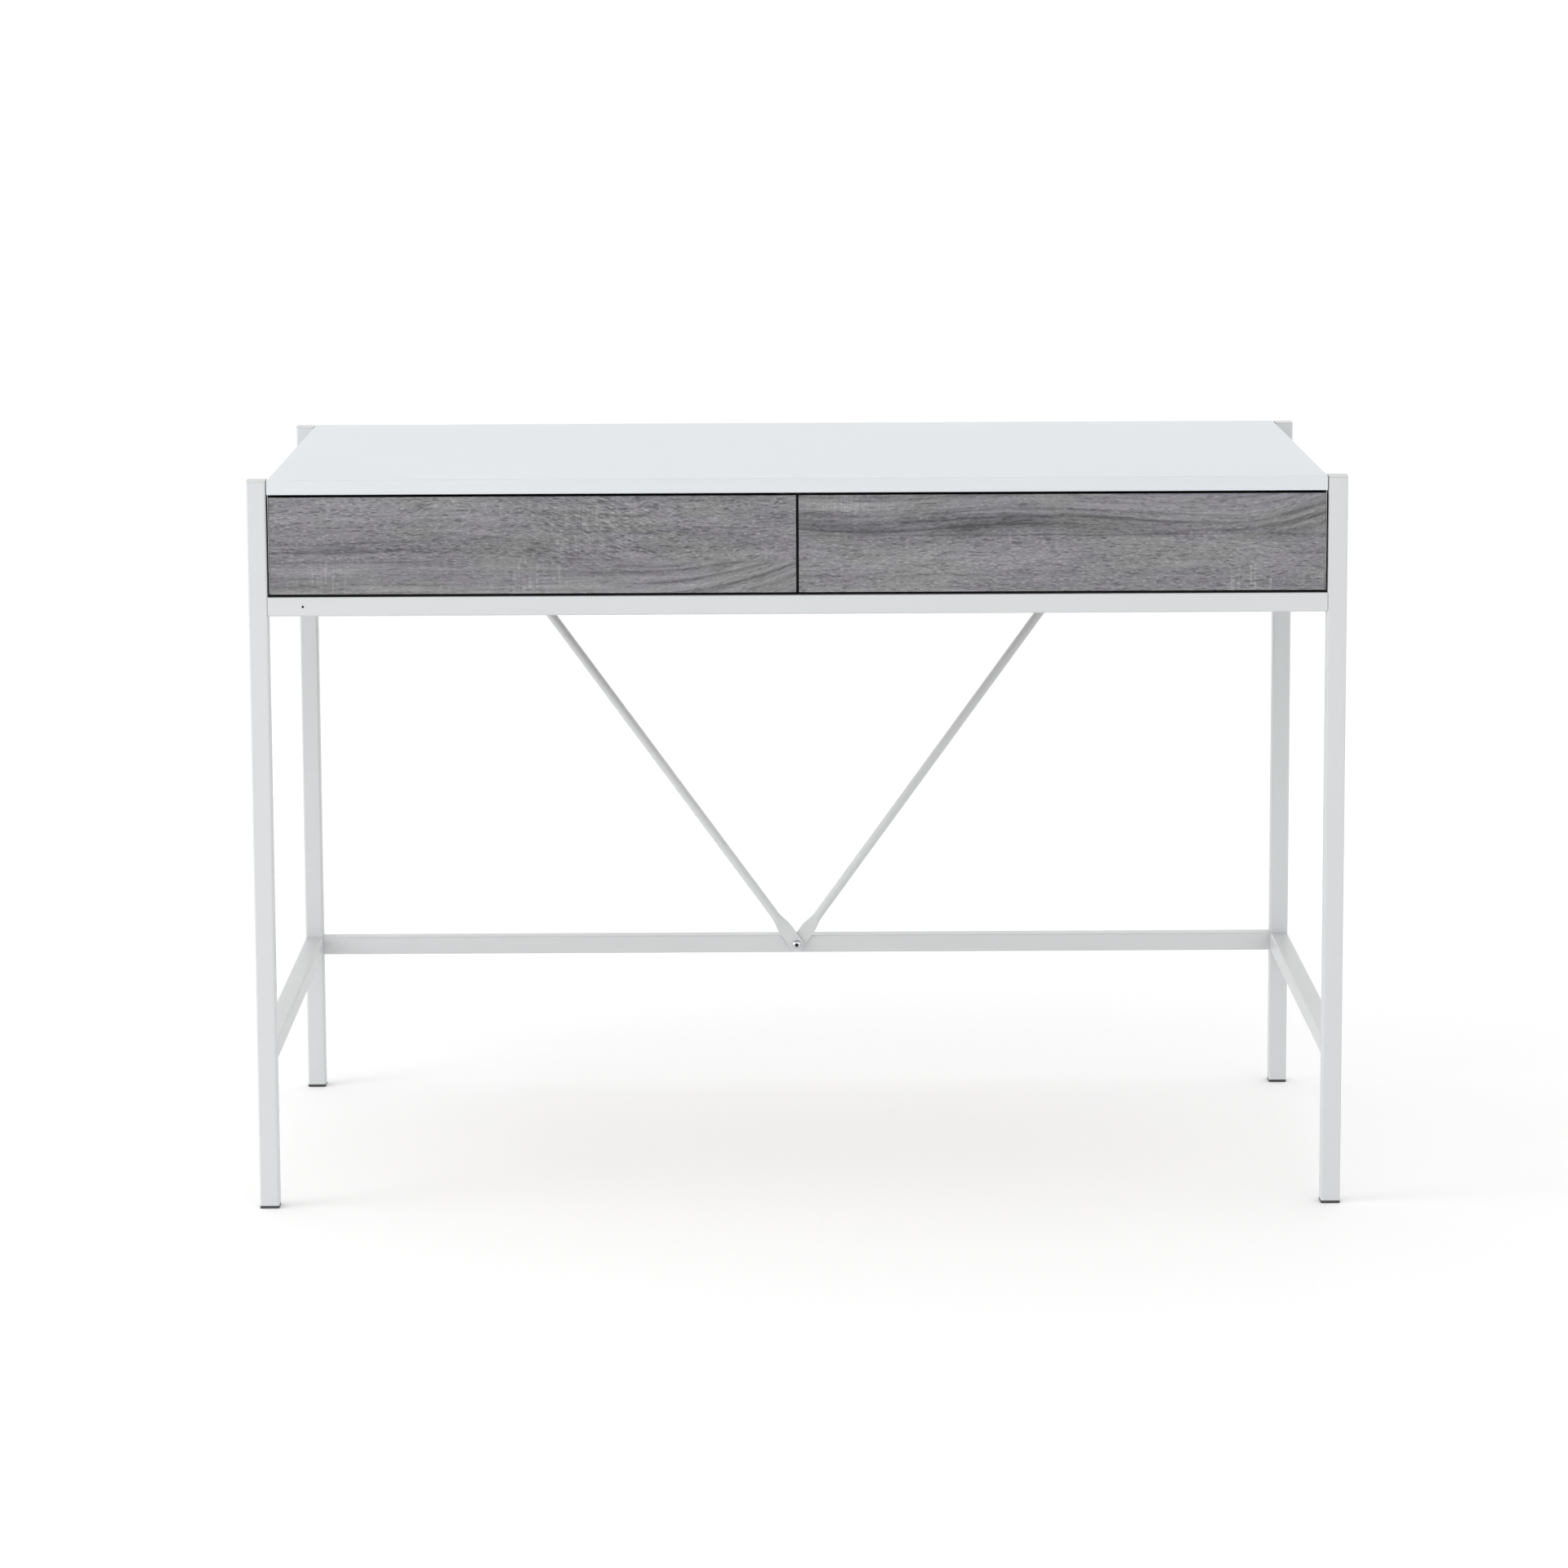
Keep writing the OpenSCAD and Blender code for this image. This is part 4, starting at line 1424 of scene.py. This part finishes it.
@dataclass
class DrawerSlides:
    """The four ball-bearing slides: three channels each, with rows of balls between them."""

    ball_gap: float = 2.4 * MM
    steel: float = 1.2 * MM
    balls: int = 17
    row_length: float = 165 * MM
    inset: float = 8 * MM

    def rows(self, channel: str) -> list[tuple[Vector, Vector]]:
        """Returns the rows of balls just inside a channel's two lips.

        Args:
            channel: The CAD node of the channel that the balls run in.

        Returns:
            The two ends of each row's line.
        """
        low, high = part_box(channel)
        x = (low.x + high.x) / 2
        y = low.y + self.inset
        lines = []
        for z in (low.z + self.steel + self.ball_gap / 2, high.z - self.steel - self.ball_gap / 2):
            lines.append((Vector((x, y, z)), Vector((x, y + self.row_length, z))))
        return lines

    def row_mesh(self, lines: list[tuple[Vector, Vector]]) -> bpy.types.Mesh:
        """Draws one edge for each row.

        Args:
            lines: The two ends of each row's line.

        Returns:
            The mesh of edges.
        """
        mesh = bpy.data.meshes.new("ball_rows")
        points = [point for line in lines for point in line]
        edges = [(2 * i, 2 * i + 1) for i in range(len(lines))]
        mesh.from_pydata(points, edges, [])
        return mesh

    def build(self, palette: Palette) -> None:
        """Dresses the channels and fills their races with balls.

        Args:
            palette: The desk's materials.
        """
        tree = BallTree()
        for drawer in ("left", "right"):
            for part, body in (("outer", "frame"), ("middle", f"{drawer}_slide_middles"),
                               ("inner", f"{drawer}_drawer")):
                channels = [f"{drawer}_drawer_slide_{part}_{hand}" for hand in ("l", "r")]
                for channel in channels:
                    dress(channel, palette.slide_steel)
                if part == "inner":
                    continue
                lines = [line for channel in channels for line in self.rows(channel)]
                mesh = tree.run(self.row_mesh(lines), {
                    "Balls": self.balls,
                    "Ball diameter": self.ball_gap,
                    "Material": palette.ball_steel,
                })
                piece = new_piece(f"{drawer}_{part}_balls", mesh, palette.ball_steel)
                hand_over(piece, body, "slide_steel")


@dataclass
class PushLatches:
    """The two push latches behind the drawers."""

    easing: float = 0.8 * MM

    def build(self, palette: Palette) -> None:
        """Rounds the bodies' edges and dresses the plungers.

        Args:
            palette: The desk's materials.
        """
        for side in ("left", "right"):
            eased(f"{side}_latch_body", "frame", "latch_plastic", self.easing, palette.latch)
            dress(f"{side}_latch_plunger", palette.glide)


class Socket(Enum):
    """The shapes of a fastener's drive."""

    HEX = "hex"
    CROSS = "cross"


@dataclass(frozen=True)
class Fastener:
    """A turned fastener with a domed head. It stands on its seat, its point along +Z.

    Arm is the half width of a cross drive's arms, in shares of the drive's half size. Flat is
    the level ring round the drive, in the same shares. Dome is how much of the head's height
    is rounded over. The point's length and end are shares of the shank's radius.
    """

    name: str
    head_diameter: float
    head_height: float
    shank_diameter: float
    length: float
    socket: Socket
    socket_size: float
    socket_depth: float
    points: int = 48
    arm: float = 0.26
    flat: float = 1.22
    dome: float = 0.8
    dome_steps: int = 6
    point_length: float = 0.6
    point_end: float = 0.35

    def socket_radius(self, angle: float) -> float:
        """Finds the drive's radius at an angle: a hexagon's, or a plus sign's.

        Args:
            angle: The angle round the axis.

        Returns:
            The radius.
        """
        half = self.socket_size / 2
        if self.socket is Socket.HEX:
            sixth = math.pi / 3
            return half / math.cos((angle + sixth / 2) % sixth - sixth / 2)
        wide = half * self.arm
        across, up = abs(math.cos(angle)) + HAIR, abs(math.sin(angle)) + HAIR
        return max(min(half / across, wide / up), min(wide / across, half / up))

    def rings(self) -> list[tuple[float, Union[float, Callable[[float], float]]]]:
        """Returns the outline from the drive's floor over the head to the point.

        Returns:
            Height and radius of each ring; the drive's rings give a radius for each angle.
        """
        head, tall = self.head_diameter / 2, self.head_height
        floor = -tall + self.socket_depth
        outline: list[tuple[float, Union[float, Callable[[float], float]]]] = [
            (floor, self.socket_radius), (-tall, self.socket_radius),
        ]
        flat = self.socket_size / 2 * self.flat
        for i in range(self.dome_steps + 1):
            turn = math.pi / 2 * i / self.dome_steps
            radius = flat + (head - flat) * math.sin(turn)
            outline.append((-tall + (tall * self.dome) * (1 - math.cos(turn)), radius))
        shank = self.shank_diameter / 2
        outline += [(0.0, head), (0.0, shank), (self.length - shank * self.point_length, shank),
                    (self.length, shank * self.point_end)]
        return outline

    def template(self) -> bpy.types.Object:
        """Returns one fastener, to be set on every point."""
        shape = bmesh.new()
        angles = [2 * math.pi * i / self.points for i in range(self.points)]
        loops = []
        for z, radius in self.rings():
            loop = []
            for angle in angles:
                reach = radius(angle) if callable(radius) else radius
                loop.append(shape.verts.new((reach * math.cos(angle), reach * math.sin(angle), z)))
            loops.append(loop)
        # the drive's floor and walls are marked for the painted shade in the recess
        recess = shape.faces.layers.float.new("recess")
        for number, (a, b) in enumerate(zip(loops, loops[1:])):
            for i in range(self.points):
                j = (i + 1) % self.points
                face = shape.faces.new((a[i], a[j], b[j], b[i]))
                face[recess] = 1.0 if number == 0 else 0.0
        shape.faces.new(loops[0])[recess] = 1.0
        shape.faces.new(loops[-1])
        bmesh.ops.recalc_face_normals(shape, faces=shape.faces)
        mesh = finished_mesh(self.name, shape, FASTENER_CREASE)
        return bpy.data.objects.new(self.name, mesh)


@dataclass
class Fasteners:
    """The bolts, screws and cam locks. Each bolt or screw is set where the CAD node has one.

    Vertices further out than the rim share of a fastener's reach belong to its head.
    """

    bolt: Fastener = Fastener(
        "bolt", head_diameter=10.5 * MM, head_height=3.3 * MM, shank_diameter=6 * MM,
        length=16 * MM, socket=Socket.HEX, socket_size=4 * MM, socket_depth=2.2 * MM,
    )
    panel_screw: Fastener = Fastener(
        "panel_screw", head_diameter=7 * MM, head_height=2 * MM, shank_diameter=3.5 * MM,
        length=19 * MM, socket=Socket.CROSS, socket_size=3.8 * MM, socket_depth=1.2 * MM,
    )
    slide_screw: Fastener = Fastener(
        "slide_screw", head_diameter=7 * MM, head_height=2 * MM, shank_diameter=3.5 * MM,
        length=10 * MM, socket=Socket.CROSS, socket_size=3.8 * MM, socket_depth=1.2 * MM,
    )
    rim_share: float = 0.9

    def places(self, node: str) -> list[tuple[Vector, Vector, float]]:
        """Finds each fastener of a CAD node.

        Args:
            node: A node that holds separate fasteners.

        Returns:
            For each, its seat, the way its point looks, and its length under the head.
        """
        shape = copied(node)
        shape.verts.ensure_lookup_table()
        seen: set[int] = set()
        found = []
        for first in shape.verts:
            if first.index in seen:
                continue
            group, queue = [], [first]
            seen.add(first.index)
            while queue:
                vert = queue.pop()
                group.append(vert.co.copy())
                for edge in vert.link_edges:
                    other = edge.other_vert(vert)
                    if other.index not in seen:
                        seen.add(other.index)
                        queue.append(other)
            found.append(self.reading(group))
        shape.free()
        return found

    def reading(self, points: list[Vector]) -> tuple[Vector, Vector, float]:
        """Reads a bolt or screw from its vertices.

        Args:
            points: The vertices' places.

        Returns:
            Its seat, the way its point looks, and its length under the head.
        """
        low = Vector(min(p[i] for p in points) for i in range(3))
        high = Vector(max(p[i] for p in points) for i in range(3))
        size = high - low
        along = max(range(3), key=lambda i: size[i])
        others = [i for i in range(3) if i != along]
        centre = (low + high) / 2
        reach = max(size[i] for i in others) / 2
        wide = [p[along] for p in points
                if math.hypot(*(p[i] - centre[i] for i in others)) > self.rim_share * reach]
        seat_at = sum(wide) / len(wide)
        points_up = seat_at < centre[along]
        seat, aim = centre.copy(), Vector((0.0, 0.0, 0.0))
        seat[along] = max(wide) if points_up else min(wide)
        aim[along] = 1.0 if points_up else -1.0
        length = abs((high if points_up else low)[along] - seat[along])
        return seat, aim, length

    def set_all(
        self, tree: FastenerTree, nodes: dict[str, str], kinds: Sequence[Fastener],
        material: bpy.types.Material,
    ) -> None:
        """Sets fasteners in place of CAD nodes, each of the kind whose length fits best.

        Args:
            tree: The tree that sets them.
            nodes: CAD node to the body that it moves with.
            kinds: The kinds that the nodes may hold.
            material: The finish.
        """
        for node, body in nodes.items():
            places = self.places(node)
            meshes = []
            for kind in kinds:
                mine = [p for p in places
                        if min(kinds, key=lambda k: abs(k.length - p[2])) is kind]
                if mine:
                    meshes.append(self.run_kind(tree, kind, mine, material))
            whole = joined(meshes, FASTENER_CREASE)
            piece = new_piece(f"{node}_set", whole, material)
            hand_over(piece, body, "zinc_steel", node)

    def run_kind(
        self, tree: FastenerTree, kind: Fastener, places: list[tuple[Vector, Vector, float]],
        material: bpy.types.Material,
    ) -> bpy.types.Mesh:
        """Sets every fastener of one kind.

        Args:
            tree: The tree that sets them.
            kind: The kind.
            places: The seat, aim and length of each.
            material: The finish.

        Returns:
            The mesh of all of them.
        """
        seed = bpy.data.meshes.new("seats")
        seed.from_pydata([seat for seat, _, _ in places], [], [])
        aims = seed.attributes.new("aim", "FLOAT_VECTOR", "POINT")
        aims.data.foreach_set("vector", [value for _, aim, _ in places for value in aim])
        template = kind.template()
        mesh = tree.run(seed, {"Fastener": template, "Material": material})
        bpy.data.objects.remove(template)
        return mesh

    def build(self, palette: Palette) -> None:
        """Sets every bolt and screw, and dresses the cam locks.

        Args:
            palette: The desk's materials.
        """
        tree = FastenerTree()
        self.set_all(tree, {"frame_bolts": "frame"}, (self.bolt,), palette.zinc)
        screws = {
            "panel_screws": "frame", "slide_screws": "frame",
            "left_drawer_screws": "left_drawer", "right_drawer_screws": "right_drawer",
        }
        self.set_all(tree, screws, (self.panel_screw, self.slide_screw), palette.zinc)
        for cams in ("panel_cams", "left_drawer_cams", "right_drawer_cams"):
            dress(cams, palette.zinc)


# ---- studio ----


@dataclass(frozen=True)
class GlowingWall(Finish):
    """The lit paper wall round the studio, with a brighter band round its middle.

    The band's place and the blend at its edges are heights in metres.
    """

    low_share: float = 1.18
    band_middle: float = 6.0
    band_reach: float = 2.0
    band_blend: float = 1.0
    band_share: float = 1.95
    top_share: float = 1.15

    def material(self) -> bpy.types.Material:
        """Returns the wall's glow as a new material."""
        material = bpy.data.materials.new(self.name)
        material.use_nodes = True
        wiring = Wiring(material.node_tree)
        place = wiring.add("ShaderNodeTexCoord").outputs["Object"]
        height = wiring.add("ShaderNodeSeparateXYZ", {0: place}).outputs[2]
        start = self.band_middle - self.band_reach
        end = self.band_middle + self.band_reach
        into = wiring.ease(height, start - self.band_blend, start + self.band_blend)
        beyond = wiring.ease(height, end - self.band_blend, end + self.band_blend)
        band = wiring.tint(into, self.shade(self.low_share), self.shade(self.band_share))
        colour = wiring.tint(beyond, band, self.shade(self.top_share))
        glow = wiring.add("ShaderNodeEmission", {0: colour, 1: 1.0})
        wiring.add("ShaderNodeOutputMaterial", {0: glow.outputs[0]})
        return material


@dataclass
class Studio:
    """The camera, the soft lights, the pale floor and the lit wall round it."""

    camera_place: tuple[float, float, float] = (-0.0249, -5.2604, 1.3235)
    look_down: float = 8.168
    look_left: float = -0.124
    tip: float = -0.26
    lens: float = 112.89
    shift_up: float = -0.10
    sensor: float = 36.0
    level_look: float = 90.0
    radius: float = 16.0
    wall_height: float = 14.0
    wall_sides: int = 96
    paper: tuple[float, float, float] = (0.95, 0.95, 0.95)
    paper_roughness: float = 0.9
    surround: float = 0.03
    overhead: float = 1.41
    overhead_spread: float = 100.0
    overhead_from: tuple[float, float, float] = (0.0, 0.0, 4.0)
    overhead_at: tuple[float, float, float] = (0.0, 0.0, 0.0)
    key_from: tuple[float, float, float] = (-3.8, -1.2, 1.2)
    key_at: tuple[float, float, float] = (0.0, 0.0, 0.4)
    key_size: float = 2.4
    key_power: float = 47.0

    def build(self) -> None:
        """Sets up camera, floor, wall, lights and tone."""
        self.add_camera()
        self.add_floor()
        self.add_wall()
        self.add_lights()
        bpy.context.scene.view_settings.view_transform = "Standard"

    def add_camera(self) -> None:
        """Adds the camera, looking a little down on the desk's front."""
        data = bpy.data.cameras.new("camera")
        data.lens = self.lens
        data.sensor_width = self.sensor
        data.shift_y = self.shift_up
        camera = bpy.data.objects.new("camera", data)
        camera.location = self.camera_place
        turn = (Matrix.Rotation(math.radians(self.look_left), 4, "Z")
                @ Matrix.Rotation(math.radians(self.level_look - self.look_down), 4, "X")
                @ Matrix.Rotation(math.radians(self.tip), 4, "Z"))
        camera.rotation_euler = turn.to_euler()
        bpy.context.scene.collection.objects.link(camera)
        bpy.context.scene.camera = camera

    def ring(self, height: float) -> list[tuple[float, float, float]]:
        """Returns the points of the wall's circle at some height."""
        turns = [2 * math.pi * i / self.wall_sides for i in range(self.wall_sides)]
        return [(self.radius * math.cos(t), self.radius * math.sin(t), height) for t in turns]

    def add_floor(self) -> None:
        """Adds the floor, out to the wall."""
        mesh = bpy.data.meshes.new("floor")
        mesh.from_pydata(self.ring(0.0), [], [tuple(range(self.wall_sides))])
        paper = StudioPaper("studio_paper", self.paper, self.paper_roughness).material()
        new_piece("floor", mesh, paper)

    def add_wall(self) -> None:
        """Adds the lit wall."""
        count = self.wall_sides
        mesh = bpy.data.meshes.new("wall")
        faces = [((i + 1) % count, i, i + count, (i + 1) % count + count) for i in range(count)]
        mesh.from_pydata(self.ring(0.0) + self.ring(self.wall_height), [], faces)
        glow = GlowingWall("lit_paper", (1.0, 1.0, 1.0), 1.0).material()
        new_piece("wall", mesh, glow)

    def add_lights(self) -> None:
        """Adds the dim surround, the wide overhead light and the soft key from the left."""
        world = bpy.data.worlds.new("surround")
        world.use_nodes = True
        surround = world.node_tree.nodes["Background"]
        surround.inputs[0].default_value = (1.0, 1.0, 1.0, 1.0)
        surround.inputs[1].default_value = self.surround
        bpy.context.scene.world = world
        above = bpy.data.lights.new("overhead", "SUN")
        above.energy = self.overhead
        above.angle = math.radians(self.overhead_spread)
        self.hang(above, self.overhead_from, self.overhead_at)
        key = bpy.data.lights.new("key", "AREA")
        key.shape = "DISK"
        key.size = self.key_size
        key.energy = self.key_power
        self.hang(key, self.key_from, self.key_at)

    def hang(
        self, light: bpy.types.Light, place: Sequence[float], target: Sequence[float]
    ) -> None:
        """Hangs a light so that it looks at a target, out of the camera's sight.

        Args:
            light: The light.
            place: Where it hangs.
            target: What it looks at.
        """
        lamp = bpy.data.objects.new(light.name, light)
        lamp.location = place
        aim = Vector(target) - Vector(place)
        lamp.rotation_euler = aim.to_track_quat("-Z", "Y").to_euler()
        lamp.visible_camera = False
        bpy.context.scene.collection.objects.link(lamp)


def main() -> None:
    """Builds the desk's look, part by part."""
    logging.basicConfig(level=logging.INFO, format="%(name)s %(message)s")
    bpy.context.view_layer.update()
    Studio().build()
    palette = Palette()
    parts = (
        SteelFrame(), LegEnds(), BraceRods(), TopAndCase(), Drawer("left"), Drawer("right"),
        DrawerSlides(), PushLatches(), Fasteners(),
    )
    for part in parts:
        part.build(palette)


if __name__ == "__main__":
    main()
